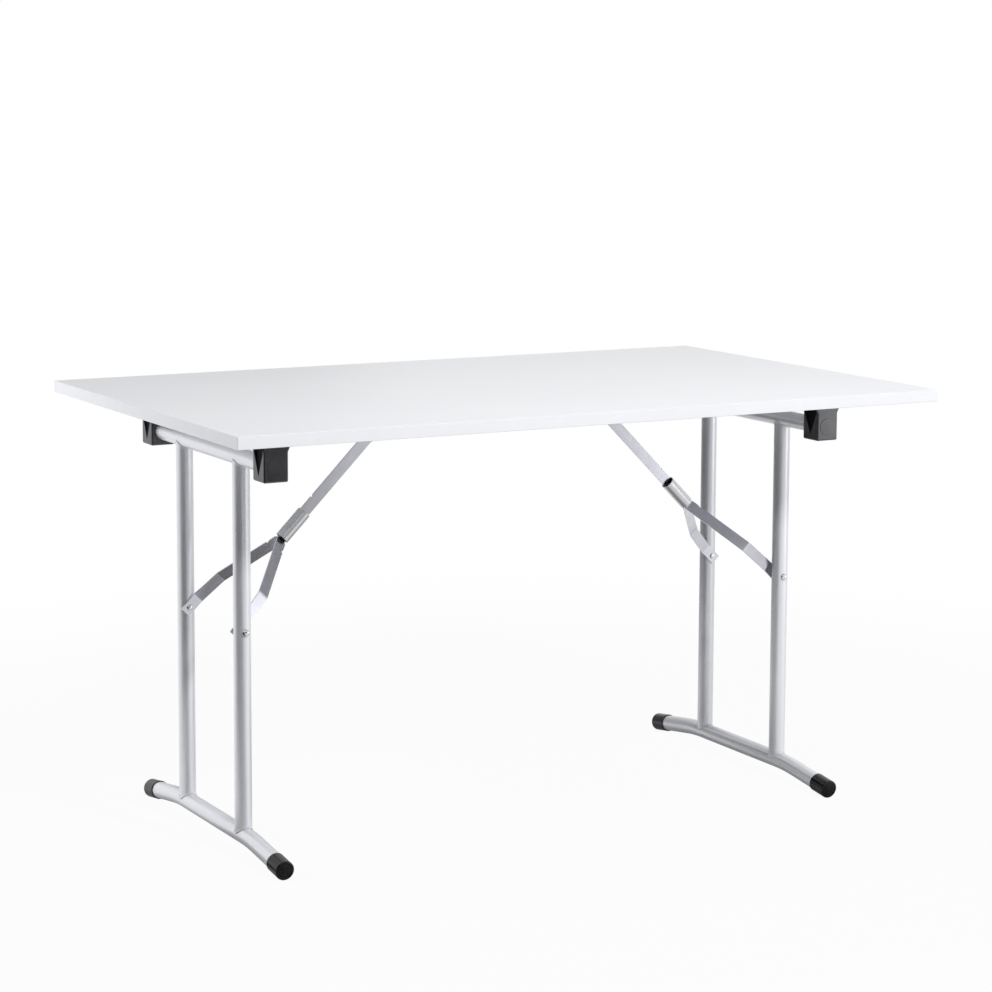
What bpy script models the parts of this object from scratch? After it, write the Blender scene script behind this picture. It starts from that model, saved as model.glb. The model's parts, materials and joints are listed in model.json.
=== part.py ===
import math

import bmesh
import bpy
from mathutils import Matrix, Vector

# Folding table: a board on two H-shaped tube frames that fold inward under it.
# Metres, +Z up, +X along the board. The origin is on the floor under the board's middle.
# The right leg frame and stay are the left ones turned half way round about Z.

# Board
BOARD_LENGTH = 1.300
BOARD_WIDTH = 0.800
BOARD_THICKNESS = 0.020
TABLE_HEIGHT = 0.730
EDGE_BAND_THICKNESS = 0.0015
EDGE_BAND_ROUNDING = 0.0006

# Clearance between pieces that touch or turn in each other
GAP = 0.0003
# How far a cutting body runs past what it cuts
OVERRUN = 0.004

# Leg frames
PIVOT_INSET = 0.1265
PIVOT_DROP = 0.054
LEG_SPACING = 0.2372
TUBE_DIAMETER = 0.0285
TUBE_WALL = 0.0015

# Feet
FOOT_LENGTH = 0.566
FOOT_TILT = math.radians(7.7)
FOOT_BEND_RADIUS = 0.080
FOOT_BEND_OFFSET = 0.012
CAP_DIAMETER = 0.0320
CAP_DEPTH = 0.034
CAP_END_WALL = 0.004
CAP_ROUNDING = 0.0025
CAP_RING_DEPTH = 0.0008
CAP_RING_SHARES = ((0.30, 0.42), (0.62, 0.74))

# Pivot blocks under the board
BLOCK_SPAN = 0.514
BLOCK_DEPTH = 0.044
BLOCK_WIDTH = 0.042
BLOCK_HEIGHT = 0.078
BLOCK_END_WALL = 0.004
BLOCK_ROUNDING = 0.003
BLOCK_FLANGE_WIDTH = 0.054
BLOCK_FLANGE_HEIGHT = 0.018
BLOCK_FLARE_HEIGHT = 0.012
POCKET_CEILING = 0.008
POCKET_FLOOR = 0.009
POCKET_MOUTH_WIDTH = 0.032
POCKET_APEX_DEPTH = 0.001
POCKET_TOP_WALL = 0.0155

# Folding stays. One reach serves both the leg rivet and the hinge under the board,
# so that the stay can fold flat.
STAY_REACH = 0.286
BAR_WIDTH = 0.0195
BAR_THICKNESS = 0.0025
BAR_CORNER = 0.0015
TONGUE_WIDTH = 0.0112
SHOULDER_LENGTH = 0.0035
BAR_BEND_RADIUS = 0.006
BAR_END_LENGTH = 0.0115
TOE_LENGTH = 0.022
KNUCKLE_DISTANCE = 0.072
KNUCKLE_SPREAD_SHARE = 0.85
NOTCH_DEPTH = 0.002
NOTCH_LENGTH = 0.0045
UPPER_NOTCH_DISTANCE = 0.027
LOWER_NOTCH_DISTANCE = 0.020

# Locking sleeve over the stay's knee
SLEEVE_DIAMETER = 0.024
SLEEVE_WALL = 0.0013
SLEEVE_LENGTH = 0.058
SLEEVE_OVERLAP = 0.0266
SLEEVE_MOUTH_CLEARANCE = 0.003

# Brackets that hang the stays under the board
BRACKET_LENGTH = 0.056
BRACKET_WIDTH = 0.028
BRACKET_PLATE = 0.0025
LUG_THICKNESS = 0.003
LUG_SIDE_CLEARANCE = 0.0005
LUG_WEB = 0.003
LUG_ROUNDING = 0.010

# Rivets, pins and screws
RIVET_DIAMETER = 0.006
LEG_RIVET_HEAD_DIAMETER = 0.0125
LEG_RIVET_HEAD_HEIGHT = 0.0034
BAR_RIVET_HEAD_DIAMETER = 0.0100
BAR_RIVET_HEAD_HEIGHT = 0.0022
KNEE_RIVET_DIAMETER = 0.005
KNEE_HEAD_DIAMETER = 0.0084
KNEE_HEAD_HEIGHT = 0.0012
PIN_HEAD_DIAMETER = 0.0095
PIN_HEAD_HEIGHT = 0.0020
SCREW_DIAMETER = 0.0040
SCREW_HEAD_DIAMETER = 0.0078
SCREW_HEAD_HEIGHT = 0.0026
SCREW_REACH = 0.012
SCREW_TIP = 0.003

# Facets round a full turn
TUBE_FACETS = 24
SMALL_FACETS = 12
SCREW_FACETS = 10

# Derived places, for the left side
UNDERSIDE = TABLE_HEIGHT - BOARD_THICKNESS
TUBE_RADIUS = TUBE_DIAMETER / 2
TUBE_BORE_RADIUS = TUBE_RADIUS - TUBE_WALL
PIVOT = Vector((PIVOT_INSET - BOARD_LENGTH / 2, 0.0, UNDERSIDE - PIVOT_DROP))
LEG_Y = LEG_SPACING / 2
LEG_INNER_Y = LEG_Y - TUBE_RADIUS
LEG_OUTER_Y = LEG_Y + TUBE_RADIUS
RIVET_POINT = PIVOT - Vector((0.0, 0.0, STAY_REACH))
HINGE_POINT = PIVOT + Vector((STAY_REACH, 0.0, 0.0))
STAY_LENGTH = (HINGE_POINT - RIVET_POINT).length
KNEE_STATION = STAY_LENGTH / 2
KNEE_POINT = (HINGE_POINT + RIVET_POINT) / 2
SLEEVE_MOUTH = KNEE_STATION - SLEEVE_OVERLAP
SLEEVE_TOP = SLEEVE_MOUTH + SLEEVE_LENGTH
BAR_HALF = BAR_THICKNESS / 2
LOWER_BAR_Y = BAR_THICKNESS + GAP
TOE_Y = LEG_INNER_Y - GAP - BAR_HALF
LUG_INNER = BAR_HALF + LUG_SIDE_CLEARANCE
LUG_OUTER = LUG_INNER + LUG_THICKNESS

# From a cross tube's axis to the ends of a leg tube's saddle ears:
# there the saddle is as wide as the leg tube's bore, so the ears keep their full wall
SADDLE_DROP = math.sqrt((TUBE_RADIUS + GAP) ** 2 - TUBE_BORE_RADIUS ** 2) + GAP

# Points closer than this are one point
MERGE_DISTANCE = 1.0e-6
# Edges that turn by more than the first stay sharp under smooth shading.
# Only edges that turn by more than the second are rounded.
CREASE_ANGLE = math.radians(32.0)
ROUNDED_ANGLE = math.radians(40.0)

# Plain colour, roughness and metallic value of each finish
WHITE_LAMINATE = ((0.84, 0.85, 0.87), 0.32, 0.0)
WHITE_EDGE = ((0.80, 0.81, 0.83), 0.40, 0.0)
SILVER_PAINT = ((0.52, 0.53, 0.56), 0.34, 0.65)
ZINC_STEEL = ((0.46, 0.47, 0.50), 0.30, 1.0)
BLACK_PLASTIC = ((0.012, 0.012, 0.016), 0.32, 0.0)
BRIGHT_STEEL = ((0.60, 0.60, 0.62), 0.25, 1.0)

ALONG_X = Vector((1.0, 0.0, 0.0))
ALONG_Y = Vector((0.0, 1.0, 0.0))
ALONG_Z = Vector((0.0, 0.0, 1.0))
STAY_ALONG = (HINGE_POINT - RIVET_POINT).normalized()
STAY_ACROSS = STAY_ALONG.cross(ALONG_Y)
LEFT = Matrix.Identity(4)
RIGHT = Matrix.Rotation(math.pi, 4, "Z")


# Objects and materials

def make_finish(name, finish):
    colour, roughness, metallic = finish
    material = bpy.data.materials.new(name)
    material.use_nodes = True
    shader = material.node_tree.nodes["Principled BSDF"]
    shader.inputs["Base Color"].default_value = (*colour, 1.0)
    shader.inputs["Roughness"].default_value = roughness
    shader.inputs["Metallic"].default_value = metallic
    material.diffuse_color = (*colour, 1.0)
    return material


def world_place(thing):
    place = Vector((0.0, 0.0, 0.0))
    while thing:
        place += thing.location
        thing = thing.parent
    return place


def add_object(name, mesh, place, parent=None):
    thing = bpy.data.objects.new(name, mesh)
    bpy.context.scene.collection.objects.link(thing)
    thing.parent = parent
    thing.location = place - world_place(parent)
    return thing


def add_axis(name, place, parent=None):
    # An empty on a joint's axis, which carries the pieces that move about it
    return add_object(name, None, place, parent)


def face_outward(shape):
    bmesh.ops.recalc_face_normals(shape, faces=shape.faces[:])
    if shape.calc_volume(signed=True) < 0.0:
        bmesh.ops.reverse_faces(shape, faces=shape.faces[:])


def add_mesh(name, shape, place, parent=None):
    face_outward(shape)
    shape.transform(Matrix.Translation(-place))
    mesh = bpy.data.meshes.new(name)
    shape.to_mesh(mesh)
    shape.free()
    return add_object(name, mesh, place, parent)


def add_piece(name, shape, finish, place=Vector((0.0, 0.0, 0.0)), parent=None):
    piece = add_mesh(name, shape, place, parent)
    piece.data.materials.append(make_finish(name, finish))
    piece.data.shade_smooth()
    piece.data.set_sharp_from_angle(angle=CREASE_ANGLE)
    return piece


def add_cutter(name, shape):
    cutter = add_mesh(name, shape, Vector((0.0, 0.0, 0.0)))
    cutter.hide_render = True
    cutter.display_type = "WIRE"
    return cutter


def combine(piece, cutter, operation="DIFFERENCE"):
    boolean = piece.modifiers.new(operation.lower(), "BOOLEAN")
    boolean.operation = operation
    boolean.solver = "EXACT"
    boolean.object = cutter


def round_edges(piece, width, segments):
    bevel = piece.modifiers.new("rounding", "BEVEL")
    bevel.width = width
    bevel.segments = segments
    bevel.limit_method = "ANGLE"
    bevel.angle_limit = ROUNDED_ANGLE


# Shapes

def box_shape(low, high):
    shape = bmesh.new()
    size = Vector(high) - Vector(low)
    middle = (Vector(high) + Vector(low)) / 2
    bmesh.ops.create_cube(shape, size=1.0, matrix=Matrix.Translation(middle) @ Matrix.Diagonal((*size, 1.0)))
    return shape


def arc(centre, radius, start, end, steps):
    # Points on an arc from one angle to another, both in degrees
    points = []
    for step in range(steps + 1):
        angle = math.radians(start + (end - start) * step / steps)
        points.append((centre[0] + radius * math.cos(angle), centre[1] + radius * math.sin(angle)))
    return points


def prism_shape(outline, low, high, frame):
    # An outline in the frame's first two axes, drawn out along its third
    shape = bmesh.new()
    base = [shape.verts.new((x, y, low)) for x, y in outline]
    face = shape.faces.new(base)
    drawn = bmesh.ops.extrude_face_region(shape, geom=[face])
    top = [item for item in drawn["geom"] if isinstance(item, bmesh.types.BMVert)]
    bmesh.ops.translate(shape, verts=top, vec=(0.0, 0.0, high - low))
    shape.transform(frame)
    return shape


def turned_shape(profile, facets, frame):
    # A profile of radii and heights, listed down its outer side, turned about the frame's third axis
    shape = bmesh.new()
    points = [shape.verts.new((radius, 0.0, height)) for radius, height in profile]
    edges = [shape.edges.new(pair) for pair in zip(points, points[1:])]
    bmesh.ops.spin(shape, geom=points + edges, axis=(0.0, 0.0, 1.0), cent=(0.0, 0.0, 0.0),
                   angle=2.0 * math.pi, steps=facets, use_merge=True)
    bmesh.ops.remove_doubles(shape, verts=shape.verts[:], dist=MERGE_DISTANCE)
    shape.transform(frame)
    return shape


def ring_of_points(shape, centre, side, across, radius, facets):
    ring = []
    for step in range(facets):
        angle = 2.0 * math.pi * (step + 0.5) / facets
        ring.append(shape.verts.new(centre + radius * (math.cos(angle) * side + math.sin(angle) * across)))
    return ring


def join_rings(shape, first, second):
    count = len(first)
    for step in range(count):
        following = (step + 1) % count
        shape.faces.new((first[step], first[following], second[following], second[step]))


def tube_shape(path, side, radius, bore_radius, facets):
    # A tube along a flat path. The side vector is square to the path's plane.
    # Without a bore the ends are closed.
    shape = bmesh.new()
    outer = []
    inner = []
    for index, point in enumerate(path):
        before = path[max(index - 1, 0)]
        after = path[min(index + 1, len(path) - 1)]
        across = side.cross((after - before).normalized())
        outer.append(ring_of_points(shape, point, side, across, radius, facets))
        if bore_radius:
            inner.append(ring_of_points(shape, point, side, across, bore_radius, facets))
    for first, second in zip(outer, outer[1:]):
        join_rings(shape, first, second)
    for first, second in zip(inner, inner[1:]):
        join_rings(shape, first, second)
    for index in (0, -1):
        if bore_radius:
            join_rings(shape, outer[index], inner[index])
        else:
            shape.faces.new(outer[index])
    return shape


def straight_tube(start, end, side, radius, bore_radius=None, facets=TUBE_FACETS):
    return tube_shape([Vector(start), Vector(end)], Vector(side), radius, bore_radius, facets)


def merged(shapes):
    # Several separate bodies in one mesh, for a cutter
    whole = bmesh.new()
    for shape in shapes:
        mesh = bpy.data.meshes.new("part_of_cutter")
        face_outward(shape)
        shape.to_mesh(mesh)
        shape.free()
        whole.from_mesh(mesh)
        bpy.data.meshes.remove(mesh)
    return whole


def turned_about(shape, side):
    shape.transform(side)
    return shape


def both_ends(side_name, side):
    # Each end's label with its direction along Y as modelled. The right side's half turn swaps the two.
    front = -1.0 if side == LEFT else 1.0
    return ((side_name + "_front", front), (side_name + "_back", -front))


def frame_of(origin, first, second, third):
    return Matrix.Translation(origin) @ Matrix((first, second, third)).transposed().to_4x4()


def facing(point, direction):
    # A frame at a point whose third axis looks along a direction
    turn = Vector((0.0, 0.0, 1.0)).rotation_difference(Vector(direction))
    return Matrix.Translation(point) @ turn.to_matrix().to_4x4()


# Fasteners

def screw_profile(shank_length):
    shank = SCREW_DIAMETER / 2
    head = SCREW_HEAD_DIAMETER / 2
    crown_share = 0.62
    rim_share = 0.35
    return [(0.0, shank_length), (shank, shank_length - SCREW_TIP), (shank, 0.0), (head, 0.0),
            (head, -rim_share * SCREW_HEAD_HEIGHT), (crown_share * head, -SCREW_HEAD_HEIGHT),
            (0.0, -SCREW_HEAD_HEIGHT)]


def dome_profile(radius, height):
    # A low domed head, from its crown to its rim, standing on height zero
    points = []
    steps = 3
    for step in range(steps + 1):
        angle = math.pi / 2 * step / steps
        points.append((radius * math.sin(angle), height * math.cos(angle)))
    return points


def headed_profile(head_radius, head_height, shank_radius, shank_length):
    return dome_profile(head_radius, head_height) + [(shank_radius, 0.0), (shank_radius, -shank_length),
                                                     (0.0, -shank_length)]


def two_headed_profile(head_radius, head_height, shank_radius, half_length):
    upper = [(radius, half_length + height) for radius, height in dome_profile(head_radius, head_height)]
    upper.append((shank_radius, half_length))
    return upper + [(radius, -height) for radius, height in reversed(upper)]


# Board

def make_board():
    band = EDGE_BAND_THICKNESS
    half_length = BOARD_LENGTH / 2
    half_width = BOARD_WIDTH / 2
    core_x = half_length - band - GAP
    core_y = half_width - band - GAP
    core = box_shape((-core_x, -core_y, UNDERSIDE), (core_x, core_y, TABLE_HEIGHT))
    board = add_piece("board_core", core, WHITE_LAMINATE)
    ends = {"left": (-half_length, band - half_length), "right": (half_length - band, half_length)}
    for name, (low, high) in ends.items():
        shape = box_shape((low, -core_y, UNDERSIDE), (high, core_y, TABLE_HEIGHT))
        strip = add_piece("edge_band_" + name, shape, WHITE_EDGE)
        round_edges(strip, EDGE_BAND_ROUNDING, 2)
    sides = {"front": (-half_width, band - half_width), "back": (half_width - band, half_width)}
    for name, (low, high) in sides.items():
        shape = box_shape((-half_length, low, UNDERSIDE), (half_length, high, TABLE_HEIGHT))
        strip = add_piece("edge_band_" + name, shape, WHITE_EDGE)
        round_edges(strip, EDGE_BAND_ROUNDING, 2)
    return board


# Pivot blocks

def block_outline():
    # The block from its open side, in X and Z about the pivot's X: narrow below, flared to a flange above
    bottom = UNDERSIDE - BLOCK_HEIGHT
    flange = UNDERSIDE - GAP - BLOCK_FLANGE_HEIGHT
    narrow = BLOCK_WIDTH / 2
    wide = BLOCK_FLANGE_WIDTH / 2
    right = [(narrow, bottom), (narrow, flange - BLOCK_FLARE_HEIGHT), (wide, flange), (wide, UNDERSIDE - GAP)]
    return right + [(-x, z) for x, z in reversed(right)]


def pocket_shape(direction, middle_y):
    # A V-shaped pocket in the block's end face, wide under the flange and ending in a point below
    ceiling = UNDERSIDE - GAP - POCKET_CEILING
    floor = UNDERSIDE - BLOCK_HEIGHT + POCKET_FLOOR
    outside = BLOCK_FLANGE_WIDTH / 2 + OVERRUN
    apex = BLOCK_WIDTH / 2 - POCKET_APEX_DEPTH
    half_mouth = POCKET_MOUTH_WIDTH / 2
    corners = [(POCKET_TOP_WALL, -half_mouth, ceiling), (POCKET_TOP_WALL, half_mouth, ceiling),
               (outside, half_mouth, ceiling), (outside, -half_mouth, ceiling),
               (apex, 0.0, floor), (outside, 0.0, floor)]
    shape = bmesh.new()
    points = [shape.verts.new((PIVOT.x + direction * x, middle_y + y, z)) for x, y, z in corners]
    for face in ((0, 1, 2, 3), (0, 4, 1), (3, 2, 5), (0, 3, 5, 4), (1, 4, 5, 2)):
        shape.faces.new([points[index] for index in face])
    return shape


def screw_x_places():
    # Midway between the pocket's back wall and the flange's edge
    offset = (POCKET_TOP_WALL + BLOCK_FLANGE_WIDTH / 2) / 2
    return (PIVOT.x - offset, PIVOT.x + offset)


def make_blocks(side_name, side, board):
    block_y = (BLOCK_SPAN - BLOCK_DEPTH) / 2
    half_depth = BLOCK_DEPTH / 2
    bore_end = BLOCK_SPAN / 2 - BLOCK_END_WALL
    bore = straight_tube((PIVOT.x, -bore_end, PIVOT.z), (PIVOT.x, bore_end, PIVOT.z), ALONG_X,
                         TUBE_RADIUS + GAP)
    bore_cutter = add_cutter(side_name + "_bore_cutter", turned_about(bore, side))
    ceiling = UNDERSIDE - GAP - POCKET_CEILING
    shank_length = UNDERSIDE + SCREW_REACH - ceiling
    hole_top = UNDERSIDE + SCREW_REACH + GAP
    for label, end in both_ends(side_name, side):
        middle_y = end * block_y
        frame = frame_of(Vector((PIVOT.x, middle_y, 0.0)), ALONG_X, ALONG_Z, ALONG_Y)
        body = prism_shape(block_outline(), -half_depth, half_depth, frame)
        block = add_piece("pivot_block_" + label, turned_about(body, side), BLACK_PLASTIC)
        round_edges(block, BLOCK_ROUNDING, 2)
        combine(block, bore_cutter)
        pockets = [pocket_shape(direction, middle_y) for direction in (-1.0, 1.0)]
        pocket_cutter = add_cutter(label + "_pocket_cutter", turned_about(merged(pockets), side))
        combine(block, pocket_cutter)
        holes = []
        for number, x in enumerate(screw_x_places(), start=1):
            foot = Vector((x, middle_y, ceiling - GAP))
            profile = screw_profile(shank_length)
            shape = turned_shape(profile, SCREW_FACETS, Matrix.Translation(foot))
            name = "block_screw_" + label + "_" + str(number)
            add_piece(name, turned_about(shape, side), BRIGHT_STEEL)
            holes.append(straight_tube((x, middle_y, ceiling - OVERRUN), (x, middle_y, hole_top), ALONG_X,
                                       SCREW_DIAMETER / 2 + GAP, facets=SCREW_FACETS))
        hole_cutter = add_cutter(label + "_screw_cutter", turned_about(merged(holes), side))
        combine(block, hole_cutter)
        combine(board, hole_cutter)
    return bore_cutter


# Leg frames

def foot_places():
    # Where the foot tube bends, how long its sloping ends are and how high it runs between the legs
    cap_radius = CAP_DIAMETER / 2
    end_height = (CAP_ROUNDING + (cap_radius - CAP_ROUNDING) * math.cos(FOOT_TILT)
                  - CAP_ROUNDING * math.sin(FOOT_TILT))
    bend_y = LEG_OUTER_Y + FOOT_BEND_OFFSET
    run = FOOT_LENGTH / 2 - bend_y - FOOT_BEND_RADIUS * math.sin(FOOT_TILT)
    slope_length = run / math.cos(FOOT_TILT)
    rise = FOOT_BEND_RADIUS * (1.0 - math.cos(FOOT_TILT)) + slope_length * math.sin(FOOT_TILT)
    return bend_y, slope_length, end_height + rise, end_height


def foot_path():
    bend_y, slope_length, height, end_height = foot_places()
    steps = 3
    half_path = []
    for step in range(steps + 1):
        angle = FOOT_TILT * step / steps
        y = bend_y + FOOT_BEND_RADIUS * math.sin(angle)
        z = height - FOOT_BEND_RADIUS * (1.0 - math.cos(angle))
        half_path.append(Vector((PIVOT.x, y, z)))
    tube_length = slope_length - CAP_END_WALL - GAP
    along = Vector((0.0, math.cos(FOOT_TILT), -math.sin(FOOT_TILT)))
    half_path.append(half_path[-1] + tube_length * along)
    other_half = [Vector((point.x, -point.y, point.z)) for point in reversed(half_path)]
    return other_half + half_path


def cap_profile():
    # A cup over the tube's end, mouth at height zero and end face above, with sunk rings in the face
    outer = CAP_DIAMETER / 2
    inner = TUBE_RADIUS + GAP
    face = CAP_DEPTH + CAP_END_WALL
    profile = [(0.0, face)]
    for low_share, high_share in CAP_RING_SHARES:
        profile += [(low_share * outer, face), (low_share * outer, face - CAP_RING_DEPTH),
                    (high_share * outer, face - CAP_RING_DEPTH), (high_share * outer, face)]
    profile += reversed(arc((outer - CAP_ROUNDING, face - CAP_ROUNDING), CAP_ROUNDING, 0.0, 90.0, 3))
    return profile + [(outer, 0.0), (inner, 0.0), (inner, CAP_DEPTH), (0.0, CAP_DEPTH)]


def make_leg_frame(side_name, side, bore_cutter):
    pivot = side @ PIVOT
    axis = add_axis(side_name + "_leg_axis", pivot)
    tube_end = BLOCK_SPAN / 2 - BLOCK_END_WALL - GAP
    pivot_tube = straight_tube((PIVOT.x, -tube_end, PIVOT.z), (PIVOT.x, tube_end, PIVOT.z), ALONG_X,
                               TUBE_RADIUS, TUBE_BORE_RADIUS)
    add_piece(side_name + "_pivot_tube", turned_about(pivot_tube, side), SILVER_PAINT, pivot, axis)

    bend_y, slope_length, foot_height, end_height = foot_places()
    foot = tube_shape(foot_path(), ALONG_X, TUBE_RADIUS, TUBE_BORE_RADIUS, TUBE_FACETS)
    add_piece(side_name + "_foot_tube", turned_about(foot, side), SILVER_PAINT, pivot, axis)
    saddle = straight_tube((PIVOT.x, -bend_y, foot_height), (PIVOT.x, bend_y, foot_height), ALONG_X,
                           TUBE_RADIUS + GAP)
    saddle_cutter = add_cutter(side_name + "_foot_saddle_cutter", turned_about(saddle, side))
    rivet_hole = straight_tube((PIVOT.x, -bend_y, RIVET_POINT.z), (PIVOT.x, bend_y, RIVET_POINT.z),
                               ALONG_X, RIVET_DIAMETER / 2 + GAP, facets=SMALL_FACETS)
    rivet_cutter = add_cutter(side_name + "_rivet_cutter", turned_about(rivet_hole, side))

    top = PIVOT.z - SADDLE_DROP
    bottom = foot_height + SADDLE_DROP
    for label, direction in both_ends(side_name, side):
        y = direction * LEG_Y
        leg = straight_tube((PIVOT.x, y, bottom), (PIVOT.x, y, top), ALONG_X,
                            TUBE_RADIUS, TUBE_BORE_RADIUS)
        leg_tube = add_piece("leg_tube_" + label, turned_about(leg, side), SILVER_PAINT, pivot, axis)
        combine(leg_tube, bore_cutter)
        combine(leg_tube, saddle_cutter)
        combine(leg_tube, rivet_cutter)

        # The rivet stands proud outside the leg and ends flush with the leg's inner side
        profile = headed_profile(LEG_RIVET_HEAD_DIAMETER / 2, LEG_RIVET_HEAD_HEIGHT,
                                 RIVET_DIAMETER / 2, TUBE_DIAMETER + GAP)
        seat = Vector((RIVET_POINT.x, direction * (LEG_OUTER_Y + GAP), RIVET_POINT.z))
        shape = turned_shape(profile, SMALL_FACETS, facing(seat, (0.0, direction, 0.0)))
        add_piece("leg_rivet_" + label, turned_about(shape, side), ZINC_STEEL, pivot, axis)

        # The cap is pushed along the sloping end of the foot tube
        outward = Vector((0.0, direction * math.cos(FOOT_TILT), -math.sin(FOOT_TILT)))
        end_face = Vector((PIVOT.x, direction * FOOT_LENGTH / 2, end_height))
        mouth = end_face - (CAP_DEPTH + CAP_END_WALL) * outward
        shape = turned_shape(cap_profile(), TUBE_FACETS, facing(mouth, outward))
        add_piece("foot_cap_" + label, turned_about(shape, side), BLACK_PLASTIC, pivot, axis)
    return rivet_cutter


# Stays. Stations run from the leg rivet up to the hinge under the board.

def notch(station, edge):
    # A stamped step in a bar's edge: a square side below and a slanting side above
    inset = edge - math.copysign(NOTCH_DEPTH, edge)
    return [(station, edge), (station, inset), (station + NOTCH_LENGTH, edge)]


def upper_bar_outline():
    half_width = BAR_WIDTH / 2
    station = SLEEVE_TOP + UPPER_NOTCH_DISTANCE
    knee_end = arc((KNEE_STATION, 0.0), half_width, 270.0, 90.0, 10)
    hinge_end = arc((STAY_LENGTH, 0.0), half_width, 90.0, -90.0, 10)
    return knee_end + notch(station, half_width) + hinge_end


def lower_bar_outline(notch_side):
    half_width = BAR_WIDTH / 2
    half_tongue = TONGUE_WIDTH / 2
    shoulder = SLEEVE_MOUTH - SLEEVE_MOUTH_CLEARANCE + SHOULDER_LENGTH / 2
    tongue_end = arc((KNEE_STATION, 0.0), half_tongue, -90.0, 90.0, 8)
    upper_edge = [(shoulder, half_tongue), (shoulder - SHOULDER_LENGTH, half_width)]
    lower_edge = [(shoulder - SHOULDER_LENGTH, -half_width), (shoulder, -half_tongue)]
    toe = [(BAR_CORNER - BAR_END_LENGTH, half_width), (-BAR_END_LENGTH, half_width - BAR_CORNER),
           (-BAR_END_LENGTH, BAR_CORNER - half_width), (BAR_CORNER - BAR_END_LENGTH, -half_width)]
    step = notch(SLEEVE_MOUTH - LOWER_NOTCH_DISTANCE, notch_side * half_width)
    if notch_side > 0:
        upper_edge += reversed(step)
    else:
        lower_edge = step + lower_edge
    return tongue_end + upper_edge + toe + lower_edge


def rounded_path(corners, radius, steps):
    # A path whose inner corners are turned into arcs of one radius
    path = [corners[0]]
    for before, corner, after in zip(corners, corners[1:], corners[2:]):
        back = (before - corner).normalized()
        ahead = (after - corner).normalized()
        opening = back.angle(ahead)
        tangent = radius / math.tan(opening / 2)
        centre = corner + (back + ahead).normalized() * radius / math.sin(opening / 2)
        start = corner + tangent * back - centre
        turn = math.pi - opening
        sign = 1.0 if (-back).cross(ahead) > 0 else -1.0
        for step in range(steps + 1):
            angle = sign * turn * step / steps
            path.append(centre + Matrix.Rotation(angle, 2) @ start)
    path.append(corners[-1])
    return path


def thickened(path, half_thickness):
    # A closed strip outline: the path shifted to either side
    left = []
    right = []
    for index, point in enumerate(path):
        before = path[max(index - 1, 0)]
        after = path[min(index + 1, len(path) - 1)]
        along = (after - before).normalized()
        normal = Vector((-along.y, along.x))
        left.append(point + half_thickness * normal)
        right.append(point - half_thickness * normal)
    return [(point.x, point.y) for point in left + right[::-1]]


def lower_bar_strip(direction):
    # The bar's bends, seen along the pivots: stations against Y
    spread = TOE_Y - LOWER_BAR_Y
    corners = [(KNEE_STATION + TONGUE_WIDTH, LOWER_BAR_Y),
               (SLEEVE_MOUTH - SLEEVE_MOUTH_CLEARANCE, LOWER_BAR_Y),
               (KNUCKLE_DISTANCE, LOWER_BAR_Y + KNUCKLE_SPREAD_SHARE * spread),
               (TOE_LENGTH, TOE_Y),
               (-BAR_END_LENGTH - OVERRUN, TOE_Y)]
    points = [Vector((station, direction * y)) for station, y in corners]
    return thickened(rounded_path(points, BAR_BEND_RADIUS, 3), BAR_HALF)


def hole_along_y(point, radius, reach):
    return straight_tube((point.x, -reach, point.z), (point.x, reach, point.z), ALONG_X,
                         radius + GAP, facets=SMALL_FACETS)


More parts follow.
